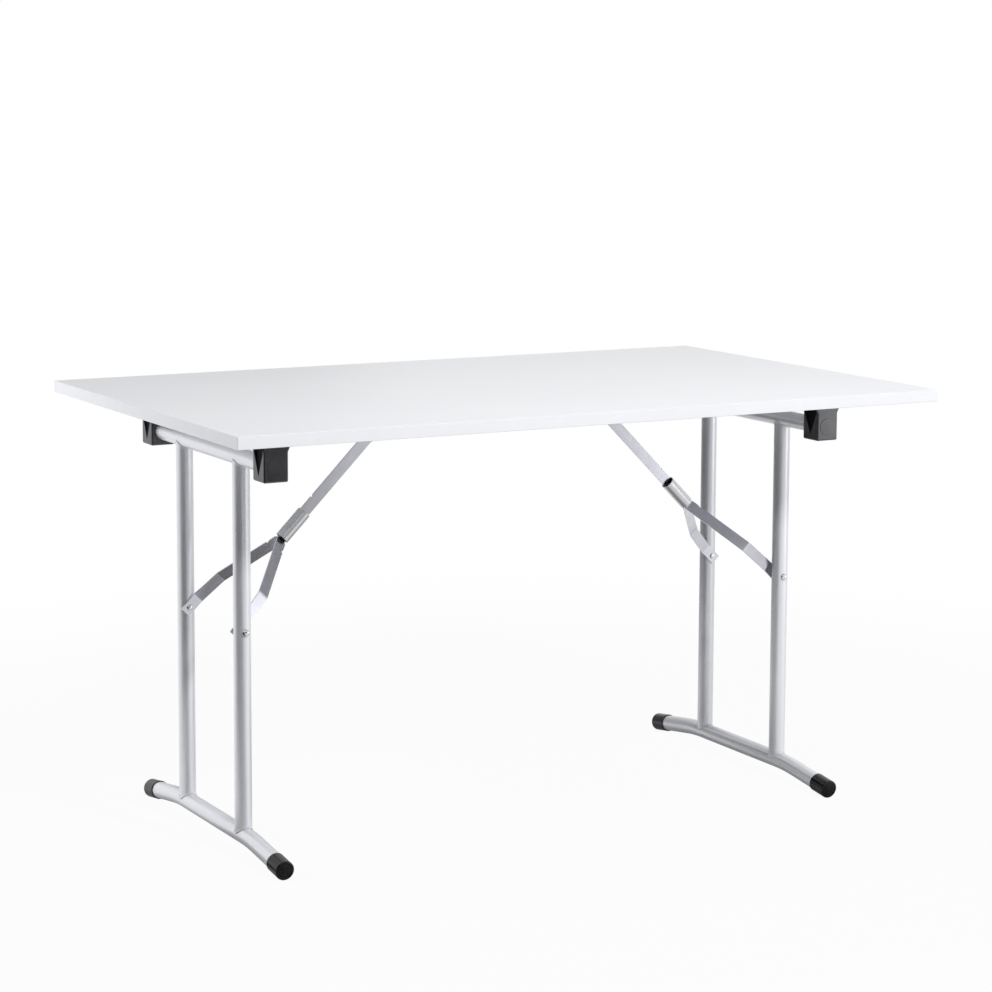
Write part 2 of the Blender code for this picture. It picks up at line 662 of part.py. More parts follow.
def make_stay(side_name, side, rivet_cutter, board):
    # One frame for outlines seen along the pivots, one for strips seen across the stay
    frame = frame_of(RIVET_POINT, STAY_ALONG, STAY_ACROSS, ALONG_Y)
    strip_frame = frame_of(RIVET_POINT, STAY_ALONG, ALONG_Y, STAY_ACROSS)
    hinge = side @ HINGE_POINT
    knee = side @ KNEE_POINT
    upper_axis = add_axis(side_name + "_stay_hinge_axis", hinge)
    lower_axis = add_axis(side_name + "_knee_axis", knee, upper_axis)
    stack = LOWER_BAR_Y + BAR_HALF

    knee_hole = hole_along_y(KNEE_POINT, KNEE_RIVET_DIAMETER / 2, stack + OVERRUN)
    knee_cutter = add_cutter(side_name + "_knee_cutter", turned_about(knee_hole, side))
    hinge_hole = hole_along_y(HINGE_POINT, RIVET_DIAMETER / 2, LUG_OUTER + OVERRUN)
    hinge_cutter = add_cutter(side_name + "_hinge_cutter", turned_about(hinge_hole, side))

    shape = prism_shape(upper_bar_outline(), -BAR_HALF, BAR_HALF, frame)
    upper_bar = add_piece(side_name + "_stay_upper_bar", turned_about(shape, side), ZINC_STEEL,
                          hinge, upper_axis)
    combine(upper_bar, knee_cutter)
    combine(upper_bar, hinge_cutter)

    strip_half_width = BAR_WIDTH / 2 + OVERRUN
    reach = TOE_Y + OVERRUN
    for label, direction in both_ends(side_name, side):
        strip = prism_shape(lower_bar_strip(direction), -strip_half_width, strip_half_width, strip_frame)
        lower_bar = add_piece("stay_lower_bar_" + label, turned_about(strip, side), ZINC_STEEL,
                              knee, lower_axis)
        outline = prism_shape(lower_bar_outline(direction), -reach, reach, frame)
        outline_cutter = add_cutter(label + "_bar_outline_cutter", turned_about(outline, side))
        combine(lower_bar, outline_cutter, "INTERSECT")
        combine(lower_bar, knee_cutter)
        combine(lower_bar, rivet_cutter)

        # The rivet's other half, headed over the bar, faces the half in the leg
        profile = headed_profile(BAR_RIVET_HEAD_DIAMETER / 2, BAR_RIVET_HEAD_HEIGHT,
                                 RIVET_DIAMETER / 2, BAR_THICKNESS + GAP)
        seat = Vector((RIVET_POINT.x, direction * (TOE_Y - BAR_HALF - GAP), RIVET_POINT.z))
        shape = turned_shape(profile, SMALL_FACETS, facing(seat, (0.0, -direction, 0.0)))
        add_piece("bar_rivet_" + label, turned_about(shape, side), ZINC_STEEL, knee, lower_axis)

    profile = two_headed_profile(KNEE_HEAD_DIAMETER / 2, KNEE_HEAD_HEIGHT, KNEE_RIVET_DIAMETER / 2,
                                 stack + GAP)
    shape = turned_shape(profile, SMALL_FACETS, facing(KNEE_POINT, (0.0, 1.0, 0.0)))
    add_piece(side_name + "_knee_rivet", turned_about(shape, side), ZINC_STEEL, knee, upper_axis)

    # The sleeve slides up the upper bar from its place over the knee
    low = frame @ Vector((SLEEVE_MOUTH, 0.0, 0.0))
    high = frame @ Vector((SLEEVE_TOP, 0.0, 0.0))
    sleeve_radius = SLEEVE_DIAMETER / 2
    shape = straight_tube(low, high, (0.0, 1.0, 0.0), sleeve_radius, sleeve_radius - SLEEVE_WALL)
    sleeve_axis = add_axis(side_name + "_sleeve_axis", side @ low, upper_axis)
    add_piece(side_name + "_locking_sleeve", turned_about(shape, side), ZINC_STEEL, side @ low, sleeve_axis)

    make_bracket(side_name, side, board, hinge_cutter)


# Stay brackets

def bracket_section():
    # The bracket seen along X: a plate against the board and two lugs with the bar's slot between them
    top = UNDERSIDE - GAP
    plate = top - BRACKET_PLATE
    bottom = HINGE_POINT.z - LUG_ROUNDING - OVERRUN
    half_length = BRACKET_LENGTH / 2
    right = [(half_length, top), (half_length, plate), (LUG_OUTER, plate), (LUG_OUTER, bottom),
             (LUG_INNER, bottom), (LUG_INNER, plate - LUG_WEB)]
    return right + [(-y, z) for y, z in reversed(right)]


def bracket_outline():
    # The bracket seen along Y: a plate over lugs that taper to a round end about the pin
    above = UNDERSIDE + OVERRUN
    shoulder = UNDERSIDE - GAP - BRACKET_PLATE
    half_width = BRACKET_WIDTH / 2
    round_end = arc((0.0, HINGE_POINT.z), LUG_ROUNDING, 180.0, 360.0, 8)
    plate = [(half_width, above), (-half_width, above), (-half_width, shoulder)]
    return plate + round_end + [(half_width, shoulder)]


def make_bracket(side_name, side, board, hinge_cutter):
    reach = BRACKET_WIDTH / 2 + OVERRUN
    middle = Vector((HINGE_POINT.x, 0.0, 0.0))
    section_frame = frame_of(middle, ALONG_Y, ALONG_Z, ALONG_X)
    outline_frame = frame_of(middle, ALONG_X, ALONG_Z, ALONG_Y)
    section = prism_shape(bracket_section(), -reach, reach, section_frame)
    bracket = add_piece(side_name + "_stay_bracket", turned_about(section, side), ZINC_STEEL)
    across = BRACKET_LENGTH / 2 + OVERRUN
    outline = prism_shape(bracket_outline(), -across, across, outline_frame)
    outline_cutter = add_cutter(side_name + "_bracket_outline_cutter", turned_about(outline, side))
    combine(bracket, outline_cutter, "INTERSECT")
    combine(bracket, hinge_cutter)

    # The screws sit midway between the lugs and the plate's ends
    head_seat = UNDERSIDE - GAP - BRACKET_PLATE
    screw_y = (BRACKET_LENGTH / 2 + LUG_OUTER) / 2
    holes = []
    for number, y in enumerate((-screw_y, screw_y), start=1):
        foot = Vector((HINGE_POINT.x, y, head_seat - GAP))
        shank_length = UNDERSIDE + SCREW_REACH - head_seat
        shape = turned_shape(screw_profile(shank_length), SCREW_FACETS, Matrix.Translation(foot))
        add_piece(side_name + "_bracket_screw_" + str(number), turned_about(shape, side), BRIGHT_STEEL)
        holes.append(straight_tube((HINGE_POINT.x, y, head_seat - OVERRUN),
                                   (HINGE_POINT.x, y, UNDERSIDE + SCREW_REACH + GAP), ALONG_X,
                                   SCREW_DIAMETER / 2 + GAP, facets=SCREW_FACETS))
    hole_cutter = add_cutter(side_name + "_bracket_screw_cutter", turned_about(merged(holes), side))
    combine(bracket, hole_cutter)
    combine(board, hole_cutter)

    profile = two_headed_profile(PIN_HEAD_DIAMETER / 2, PIN_HEAD_HEIGHT, RIVET_DIAMETER / 2,
                                 LUG_OUTER + GAP)
    shape = turned_shape(profile, SMALL_FACETS, facing(HINGE_POINT, (0.0, 1.0, 0.0)))
    add_piece(side_name + "_hinge_pin", turned_about(shape, side), BRIGHT_STEEL, side @ HINGE_POINT)


def main():
    for thing in list(bpy.data.objects):
        bpy.data.objects.remove(thing)
    board = make_board()
    for side_name, side in (("left", LEFT), ("right", RIGHT)):
        bore_cutter = make_blocks(side_name, side, board)
        rivet_cutter = make_leg_frame(side_name, side, bore_cutter)
        make_stay(side_name, side, rivet_cutter, board)


main()
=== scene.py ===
import json
import math

import bmesh
import bpy
from mathutils import Matrix, Vector

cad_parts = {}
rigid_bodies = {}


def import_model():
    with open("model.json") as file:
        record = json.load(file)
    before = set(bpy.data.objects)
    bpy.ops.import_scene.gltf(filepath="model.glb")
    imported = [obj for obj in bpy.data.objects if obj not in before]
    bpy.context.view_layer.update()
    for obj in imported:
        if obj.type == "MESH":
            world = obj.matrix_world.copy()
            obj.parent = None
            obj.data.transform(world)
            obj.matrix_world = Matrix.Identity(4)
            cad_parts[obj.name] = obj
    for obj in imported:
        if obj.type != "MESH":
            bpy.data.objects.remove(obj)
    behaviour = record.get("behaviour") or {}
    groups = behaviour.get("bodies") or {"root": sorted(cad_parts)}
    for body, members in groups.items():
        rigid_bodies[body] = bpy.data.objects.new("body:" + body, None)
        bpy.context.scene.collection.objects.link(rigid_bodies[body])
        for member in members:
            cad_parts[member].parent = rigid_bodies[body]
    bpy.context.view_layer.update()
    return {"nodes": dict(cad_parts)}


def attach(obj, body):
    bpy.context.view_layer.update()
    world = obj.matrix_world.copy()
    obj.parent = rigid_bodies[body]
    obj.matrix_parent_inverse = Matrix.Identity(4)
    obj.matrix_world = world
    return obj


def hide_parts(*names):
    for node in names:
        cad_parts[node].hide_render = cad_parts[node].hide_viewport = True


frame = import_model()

print("frame loaded,", len(frame["nodes"]), "nodes")

# Metres. The left side is made in place, and the right side is the same turned half way round.
leftSide = Matrix.Identity(4)
rightSide = Matrix.Rotation(math.pi, 4, "Z")
sides = (("left", leftSide), ("right", rightSide))
alongX = Vector((1.0, 0.0, 0.0))
alongY = Vector((0.0, 1.0, 0.0))
alongZ = Vector((0.0, 0.0, 1.0))
gap = 0.0003        # clearance between pieces that touch
overrun = 0.004     # how far a cutter runs past what it cuts


# Nodes

def newMaterial(name):
    material = bpy.data.materials.new(name)
    material.use_nodes = True
    return material, material.node_tree, material.node_tree.nodes["Principled BSDF"]


def addNode(tree, kind, inputs=None, **settings):
    node = tree.nodes.new(kind)
    for name, value in settings.items():
        setattr(node, name, value)
    for socket, value in (inputs or {}).items():
        if isinstance(value, bpy.types.NodeSocket):
            tree.links.new(value, node.inputs[socket])
        else:
            node.inputs[socket].default_value = value
    return node


def calculate(tree, operation, *values):
    return addNode(tree, "ShaderNodeMath", dict(enumerate(values)), operation=operation).outputs[0]


def calculateVector(tree, operation, *values):
    node = addNode(tree, "ShaderNodeVectorMath", dict(enumerate(values)), operation=operation)
    return node.outputs["Value" if operation == "LENGTH" else "Vector"]


def splitPlace(tree, place):
    return addNode(tree, "ShaderNodeSeparateXYZ", {0: place}).outputs


def restPlace(tree):
    # every piece's own coordinates are metres in the table at rest
    return addNode(tree, "ShaderNodeTexCoord").outputs["Object"]


def stayPlace(tree, stretch):
    # coordinates turned so that the first runs along the stays, the same for both sides
    parts = splitPlace(tree, restPlace(tree))
    joined = addNode(tree, "ShaderNodeCombineXYZ",
                     {0: calculate(tree, "ABSOLUTE", parts[0]), 1: parts[1], 2: parts[2]})
    aligned = addNode(tree, "ShaderNodeMapping",
                      {"Vector": joined.outputs[0], "Rotation": (0.0, math.radians(-45.0), 0.0)})
    return addNode(tree, "ShaderNodeMapping", {"Vector": aligned.outputs[0], "Scale": stretch}).outputs[0]


def noise(tree, place, scale, detail):
    return addNode(tree, "ShaderNodeTexNoise",
                   {"Vector": place, "Scale": scale, "Detail": detail}).outputs[0]


def spread(tree, value, low, high, start=0.3, end=0.7, curve="LINEAR"):
    return addNode(tree, "ShaderNodeMapRange",
                   {"Value": value, "From Min": start, "From Max": end, "To Min": low, "To Max": high},
                   interpolation_type=curve).outputs[0]


def fade(tree, value, low, high, start, end):
    return spread(tree, value, low, high, start, end, "SMOOTHSTEP")


def twoTone(tree, share, first, second):
    return addNode(tree, "ShaderNodeMix", {0: share, 6: (*first, 1.0), 7: (*second, 1.0)},
                   data_type="RGBA").outputs[2]


def relief(tree, height, strength, distance, below=None):
    inputs = {"Height": height, "Strength": strength, "Distance": distance}
    if below:
        inputs["Normal"] = below
    return addNode(tree, "ShaderNodeBump", inputs).outputs["Normal"]


def setSurface(tree, output):
    tree.links.new(output, tree.nodes["Material Output"].inputs["Surface"])


def setInputs(shader, values):
    for name, value in values.items():
        shader.inputs[name].default_value = value


# Finishes

# Each look says its material's name and the record's slot. Its noises have a scale, a detail and, along the
# stays, a stretch. Tones, gloss and reliefs follow the noises that they name, and a relief has a strength
# and a depth in metres.
looks = {
    "laminate": {
        "name": "whiteLaminate", "slot": "white_laminate",
        "noises": {"clouds": (5.0, 2.0), "pebble": (420.0, 2.0), "rubbed": (60.0, 4.0)},
        "tones": ("clouds", (0.900, 0.912, 0.932), (0.884, 0.896, 0.918)),
        "gloss": ("rubbed", 0.30, 0.36), "reliefs": (("pebble", 0.06, 0.00001),)},
    "edging": {
        "name": "whiteEdging", "slot": "white_edge",
        "noises": {"drawn": (24.0, 3.0), "ripple": (140.0, 2.0)},
        "tones": ("drawn", (0.900, 0.910, 0.925), (0.885, 0.895, 0.912)),
        "gloss": ("ripple", 0.33, 0.42), "reliefs": (("ripple", 0.30, 0.00006),),
        "constants": {"Specular IOR Level": 0.25}},
    "silver": {
        "name": "silverPowderCoat", "slot": "silver_paint",
        "noises": {"flake": (2400.0, 1.0), "peel": (330.0, 2.0), "haze": (14.0, 2.0)},
        "tones": ("flake", (0.830, 0.838, 0.870), (0.755, 0.762, 0.795)),
        "gloss": ("haze", 0.32, 0.40), "reliefs": (("peel", 0.35, 0.00004), ("flake", 0.15, 0.00002)),
        "constants": {"Metallic": 0.50, "Coat Weight": 0.18, "Coat Roughness": 0.22}},
    "zinc": {
        "name": "zincStrip", "slot": "zinc_steel",
        "noises": {"streaks": (1.0, 3.0, (6.0, 90.0, 90.0)), "bloom": (45.0, 3.0)},
        "tones": ("bloom", (0.600, 0.600, 0.650), (0.545, 0.545, 0.595)),
        "gloss": ("streaks", 0.18, 0.23), "reliefs": (("streaks", 0.10, 0.00001),),
        "constants": {"Metallic": 1.0}},
    "sleeve": {
        "name": "drawnSleeveSteel", "slot": "sleeve_steel",
        "noises": {"streaks": (1.0, 3.0, (6.0, 90.0, 90.0)), "rubbed": (60.0, 4.0)},
        "tones": ("streaks", (0.660, 0.660, 0.680), (0.600, 0.600, 0.620)),
        "gloss": ("rubbed", 0.34, 0.40), "reliefs": (("streaks", 0.08, 0.00001),),
        "constants": {"Metallic": 1.0}},
    "bright": {
        "name": "brightSteel", "slot": "bright_steel",
        "noises": {"tarnish": (320.0, 3.0)},
        "tones": ("tarnish", (0.74, 0.74, 0.75), (0.60, 0.60, 0.62)),
        "gloss": ("tarnish", 0.14, 0.26), "reliefs": (("tarnish", 0.10, 0.00003),),
        "constants": {"Metallic": 1.0}},
    "moulded": {
        "name": "mouldedBlackPlastic", "slot": "black_plastic",
        "noises": {"grain": (900.0, 2.0), "flow": (35.0, 3.0)},
        "tones": ("flow", (0.004, 0.004, 0.010), (0.009, 0.009, 0.018)),
        "gloss": ("flow", 0.30, 0.38), "reliefs": (("grain", 0.25, 0.00004),),
        "constants": {"Specular IOR Level": 0.9, "IOR": 1.58}},
    # the faces inside the blocks' pockets: a darker, duller copy of the black plastic, as painted shade in
    # the pockets
    "hollow": {
        "name": "dullPocketPlastic", "slot": "black_plastic",
        "noises": {"grain": (600.0, 3.0), "flow": (50.0, 2.0)},
        "tones": ("grain", (0.004, 0.004, 0.005), (0.008, 0.008, 0.010)),
        "gloss": ("flow", 0.60, 0.75), "reliefs": (("grain", 0.30, 0.00005),),
        "constants": {"Specular IOR Level": 0.08}},
    "glossy": {
        "name": "glossyBlackPlastic", "slot": "black_gloss_plastic",
        "noises": {"flow": (55.0, 4.0), "scuffs": (260.0, 5.0)},
        "tones": ("scuffs", (0.003, 0.003, 0.004), (0.016, 0.016, 0.020)), "toneRange": (0.55, 0.75),
        "gloss": ("flow", 0.13, 0.22), "reliefs": (("scuffs", 0.12, 0.00003),),
        "constants": {"Specular IOR Level": 0.35}},
}


def makeFinish(look):
    material, tree, shader = newMaterial(look["name"])
    place = restPlace(tree)
    patterns = {}
    for name, (scale, detail, *stretch) in look["noises"].items():
        patterns[name] = noise(tree, stayPlace(tree, *stretch) if stretch else place, scale, detail)
    pattern, first, second = look["tones"]
    share = spread(tree, patterns[pattern], 0.0, 1.0, *look.get("toneRange", ()))
    tree.links.new(twoTone(tree, share, first, second), shader.inputs["Base Color"])
    pattern, low, high = look["gloss"]
    tree.links.new(spread(tree, patterns[pattern], low, high), shader.inputs["Roughness"])
    surface = None
    for pattern, strength, depth in look["reliefs"]:
        surface = relief(tree, patterns[pattern], strength, depth, surface)
    tree.links.new(surface, shader.inputs["Normal"])
    setInputs(shader, look.get("constants", {}))
    return material, look["slot"]


finishes = {name: makeFinish(look) for name, look in looks.items()}
print("finishes made:", len(finishes))


# Mesh tools

def faceOutward(shape):
    bmesh.ops.recalc_face_normals(shape, faces=shape.faces[:])
    if shape.calc_volume(signed=True) < 0.0:
        bmesh.ops.reverse_faces(shape, faces=shape.faces[:])


def linkObject(name, data):
    thing = bpy.data.objects.new(name, data)
    bpy.context.scene.collection.objects.link(thing)
    return thing


def linkMesh(name, shape, material=None):
    mesh = bpy.data.meshes.new(name)
    shape.to_mesh(mesh)
    shape.free()
    if material:
        mesh.materials.append(material)
    return linkObject(name, mesh)


def placeObject(name, shape):
    faceOutward(shape)
    return linkMesh(name, shape)


def settle(thing):
    # keeps what the modifiers give and takes the modifiers off
    graph = bpy.context.evaluated_depsgraph_get()
    mesh = bpy.data.meshes.new_from_object(thing.evaluated_get(graph), depsgraph=graph)
    before = thing.data
    thing.modifiers.clear()
    thing.data = mesh
    mesh.name = thing.name
    bpy.data.meshes.remove(before)


def carve(thing, shape, operation="DIFFERENCE"):
    cutter = placeObject(thing.name + "Cutter", shape)
    boolean = thing.modifiers.new("carve", "BOOLEAN")
    boolean.operation = operation
    boolean.solver = "EXACT"
    boolean.object = cutter
    settle(thing)
    mesh = cutter.data
    bpy.data.objects.remove(cutter)
    bpy.data.meshes.remove(mesh)


def soften(thing, width, steps=3, angle=40.0):
    bevel = thing.modifiers.new("soften", "BEVEL")
    bevel.width = width
    bevel.segments = steps
    bevel.limit_method = "ANGLE"
    bevel.angle_limit = math.radians(angle)
    settle(thing)


def dress(thing, finish, body, nodes=(), crease=35.0):
    # smooth shading, finish and the body that carries it
    material, slot = finishes[finish]
    thing.data.materials.clear()
    thing.data.materials.append(material)
    thing.data.shade_smooth()
    thing.data.set_sharp_from_angle(angle=math.radians(crease))
    weigh = thing.modifiers.new("weigh", "WEIGHTED_NORMAL")
    weigh.keep_sharp = True
    settle(thing)
    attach(thing, body)
    if nodes:
        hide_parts(*nodes)
    return thing


def arc(centre, radius, start, end, steps):
    points = []
    for step in range(steps + 1):
        angle = math.radians(start + (end - start) * step / steps)
        points.append((centre[0] + radius * math.cos(angle), centre[1] + radius * math.sin(angle)))
    return points


def frameOf(origin, first, second, third):
    return Matrix.Translation(origin) @ Matrix((first, second, third)).transposed().to_4x4()


def facing(point, direction):
    turn = Vector((0.0, 0.0, 1.0)).rotation_difference(Vector(direction))
    return Matrix.Translation(point) @ turn.to_matrix().to_4x4()


def prismShape(outline, low, high, place):
    shape = bmesh.new()
    face = shape.faces.new([shape.verts.new((x, y, low)) for x, y in outline])
    drawn = bmesh.ops.extrude_face_region(shape, geom=[face])
    top = [item for item in drawn["geom"] if isinstance(item, bmesh.types.BMVert)]
    bmesh.ops.translate(shape, verts=top, vec=(0.0, 0.0, high - low))
    shape.transform(place)
    return shape


def turnedShape(profile, facets, place):
    # a profile of radii and heights, turned about the place's third axis
    shape = bmesh.new()
    points = [shape.verts.new((radius, 0.0, height)) for radius, height in profile]
    edges = [shape.edges.new(pair) for pair in zip(points, points[1:])]
    bmesh.ops.spin(shape, geom=points + edges, axis=(0.0, 0.0, 1.0), cent=(0.0, 0.0, 0.0),
                   angle=2.0 * math.pi, steps=facets, use_merge=True)
    bmesh.ops.remove_doubles(shape, verts=shape.verts[:], dist=1.0e-6)
    shape.transform(place)
    return shape


def around(count):
    return [2.0 * math.pi * step / count for step in range(count)]


def courseAt(path, index):
    # the direction in which a path runs at one of its points
    return (path[min(index + 1, len(path) - 1)] - path[max(index - 1, 0)]).normalized()


def joinRings(shape, first, second):
    count = len(first)
    for step in range(count):
        after = (step + 1) % count
        shape.faces.new((first[step], first[after], second[after], second[step]))


def skin(shape, rings):
    # faces between the rings and over both ends
    for first, second in zip(rings, rings[1:]):
        joinRings(shape, first, second)
    shape.faces.new(rings[0])
    shape.faces.new(rings[-1])


def tubeShape(path, side, radius, facets):
    # a closed-ended tube along a flat path, whose plane is square to the side vector
    shape = bmesh.new()
    rings = []
    for index, point in enumerate(path):
        across = side.cross(courseAt(path, index))
        rings.append([shape.verts.new(point + radius * (math.cos(angle) * side + math.sin(angle) * across))
                      for angle in around(facets)])
    skin(shape, rings)
    return shape


def rodShape(start, end, side, radius, facets=64):
    return tubeShape([Vector(start), Vector(end)], Vector(side), radius, facets)


def turned(shape, side):
    shape.transform(side)
    return shape


def bothEnds(sideName, side):
    # each end's label with its direction along Y before the side is turned
    front = -1.0 if side == leftSide else 1.0
    return ((sideName + "_front", front), (sideName + "_back", -front))


def pieceName(kind, label):
    return kind + "".join(word.capitalize() for word in label.split("_"))


def addPiece(kind, label, side, shape, finish, body, nodes=(), crease=35.0):
    return dress(placeObject(pieceName(kind, label), turned(shape, side)), finish, body, nodes, crease)


# Board

board = {"length": 1.300, "width": 0.800, "thickness": 0.020, "height": 0.730,
         "bandThickness": 0.0015, "bandRounding": 0.0007, "roundingSteps": 4, "seam": 0.00006}
underside = board["height"] - board["thickness"]


def roundedBand(name, low, high, axis, outward):
    # a strip whose outer corners are rounded and whose inner edges meet the laminate square
    shape = bmesh.new()
    size = Vector(high) - Vector(low)
    middle = (Vector(high) + Vector(low)) / 2
    bmesh.ops.create_cube(shape, size=1.0, matrix=Matrix.Translation(middle) @ Matrix.Diagonal((*size, 1.0)))
    outer = high[axis] if outward > 0 else low[axis]
    edges = [edge for edge in shape.edges
             if all(abs(corner.co[axis] - outer) < 1.0e-6 for corner in edge.verts)]
    bmesh.ops.bevel(shape, geom=edges, offset=board["bandRounding"], offset_type="OFFSET",
                    segments=board["roundingSteps"], profile=0.5, affect="EDGES")
    return placeObject(name, shape)


def makeBoard():
    # the board's own solid stays, with its screw holes, and gets the laminate
    core = frame["nodes"]["board_core"]
    for slot in core.material_slots:
        slot.material = finishes["laminate"][0]
    halfLength = board["length"] / 2
    halfWidth = board["width"] / 2
    depth = board["bandThickness"] + gap - board["seam"]
    reach = halfWidth - depth - board["seam"]
    low, high = underside, board["height"]
    bands = {
        "left": ((-halfLength, -reach, low), (-halfLength + depth, reach, high), 0, -1),
        "right": ((halfLength - depth, -reach, low), (halfLength, reach, high), 0, 1),
        "front": ((-halfLength, -halfWidth, low), (halfLength, -halfWidth + depth, high), 1, -1),
        "back": ((-halfLength, halfWidth - depth, low), (halfLength, halfWidth, high), 1, 1),
    }
    for name, (start, end, axis, outward) in bands.items():
        band = roundedBand(pieceName("band", name), start, end, axis, outward)
        dress(band, "edging", "tabletop", ["edge_band_" + name])


makeBoard()
print("board and bands done")


# Pivot blocks

legs = {"inset": 0.1265, "drop": 0.054, "spacing": 0.2372, "tube": 0.01425, "wall": 0.0015,
        "collar": 0.024, "facets": 72}
pivot = Vector((legs["inset"] - board["length"] / 2, 0.0, underside - legs["drop"]))
legY = legs["spacing"] / 2
legInner = legY - legs["tube"]
legOuter = legY + legs["tube"]

block = {"span": 0.514, "depth": 0.044, "width": 0.042, "height": 0.078, "endWall": 0.004,
         "rounding": 0.003, "roundingSteps": 5, "flangeWidth": 0.054, "flangeHeight": 0.018,
         "flareHeight": 0.012, "pocketCeiling": 0.008, "pocketFloor": 0.009, "pocketMouth": 0.042,
         "pocketApex": 0.001, "pocketTopWall": 0.0155, "pocketShoulder": 0.023, "edge": 0.0005,
         "edgeSteps": 2, "markRadius": 0.0155, "markHeight": 0.0005, "markFacets": 64}

screw = {"shank": 0.0020, "head": 0.0039, "headHeight": 0.0026, "rim": 0.30, "reach": 0.012,
         "tip": 0.003, "facets": 40, "crownSteps": 8, "recess": 0.0017, "recessDepth": 0.0015,
         "recessWidth": 0.00045, "recessTurn": 20.0, "recessTaper": (0.45, 0.7)}


def blockOutline():
    bottom = underside - block["height"]
    flange = underside - gap - block["flangeHeight"]
    narrow = block["width"] / 2
    wide = block["flangeWidth"] / 2
    right = [(narrow, bottom), (narrow, flange - block["flareHeight"]), (wide, flange),
             (wide, underside - gap)]
    return right + [(-x, z) for x, z in reversed(right)]


def pocketShape(direction, middleY):
    # wide with upright sides under the flange, then ending in a point below
    ceiling = underside - gap - block["pocketCeiling"]
    shoulder = underside - block["pocketShoulder"]
    floor = underside - block["height"] + block["pocketFloor"]
    outside = block["flangeWidth"] / 2 + overrun
    apex = block["width"] / 2 - block["pocketApex"]
    half = block["pocketMouth"] / 2
    wall = block["pocketTopWall"]
    shape = bmesh.new()
    rings = ([], [])
    for y, z in ((-half, ceiling), (-half, shoulder), (0.0, floor), (half, shoulder), (half, ceiling)):
        inner = wall + (apex - wall) * (ceiling - z) / (ceiling - floor)
        for ring, x in zip(rings, (inner, outside)):
            ring.append(shape.verts.new((pivot.x + direction * x, middleY + y, z)))
    skin(shape, rings)
    return shape


def recessBlade(turn):
    # one blade of the cross recess, narrower at its bottom
    top = screw["headHeight"] + overrun / 8
    bottom = screw["headHeight"] - screw["recessDepth"]
    long, wide = screw["recess"], screw["recessWidth"]
    shorter, thinner = screw["recessTaper"]
    corners = ((-1, -1), (1, -1), (1, 1), (-1, 1))
    shape = bmesh.new()
    levels = ((-top, long, wide), (-bottom, long * shorter, wide * thinner))
    skin(shape, [[shape.verts.new((x * length, y * width, height)) for x, y in corners]
                 for height, length, width in levels])
    shape.transform(Matrix.Rotation(math.radians(turn), 4, "Z"))
    return shape


def makeScrewMesh(shankLength):
    # head down, as driven up into the board; the seat is at height zero
    shank, head, height, rim = screw["shank"], screw["head"], screw["headHeight"], screw["rim"]
    steps = screw["crownSteps"]
    crown = [(head * math.cos(angle), -height * (rim + (1.0 - rim) * math.sin(angle)))
             for angle in [math.pi / 2 * step / steps for step in range(steps)]]
    profile = [(0.0, shankLength), (shank, shankLength - screw["tip"]), (shank, 0.0), (head, 0.0)]
    profile += crown + [(0.0, -height)]
    thing = placeObject("screwPattern", turnedShape(profile, screw["facets"], Matrix.Identity(4)))
    for turn in (screw["recessTurn"], screw["recessTurn"] + 90.0):
        carve(thing, recessBlade(turn))
    mesh = thing.data.copy()
    bpy.data.objects.remove(thing)
    return mesh


def placeScrew(name, pattern, foot, side, node):
    mesh = pattern.copy()
    mesh.name = name
    mesh.transform(side @ Matrix.Translation(foot))
    dress(linkObject(name, mesh), "bright", "tabletop", [node])


def dullPockets(thing, side):
    # the faces inside the pockets get the shaded copy of the black plastic, as painted shade
    thing.data.materials.append(finishes["hollow"][0])
    turnedBack = side.inverted()
    margin = 2 * block["edge"]
    low = underside - block["height"] + margin
    high = underside - block["pocketCeiling"] / 2
    flareHeight = block["flareHeight"]
    for face in thing.data.polygons:
        centre = turnedBack @ face.center
        flare = (centre.z - underside + gap + block["flangeHeight"] + flareHeight) / flareHeight
        outside = (block["width"] + (block["flangeWidth"] - block["width"]) * min(max(flare, 0.0), 1.0)) / 2
        fromMiddle = abs(abs(centre.y) - block["span"] / 2 + block["depth"] / 2)
        if (low < centre.z < high and fromMiddle < block["pocketMouth"] / 2
                and legs["tube"] + 2 * gap < abs(centre.x - pivot.x) < outside - margin):
            face.material_index = 1


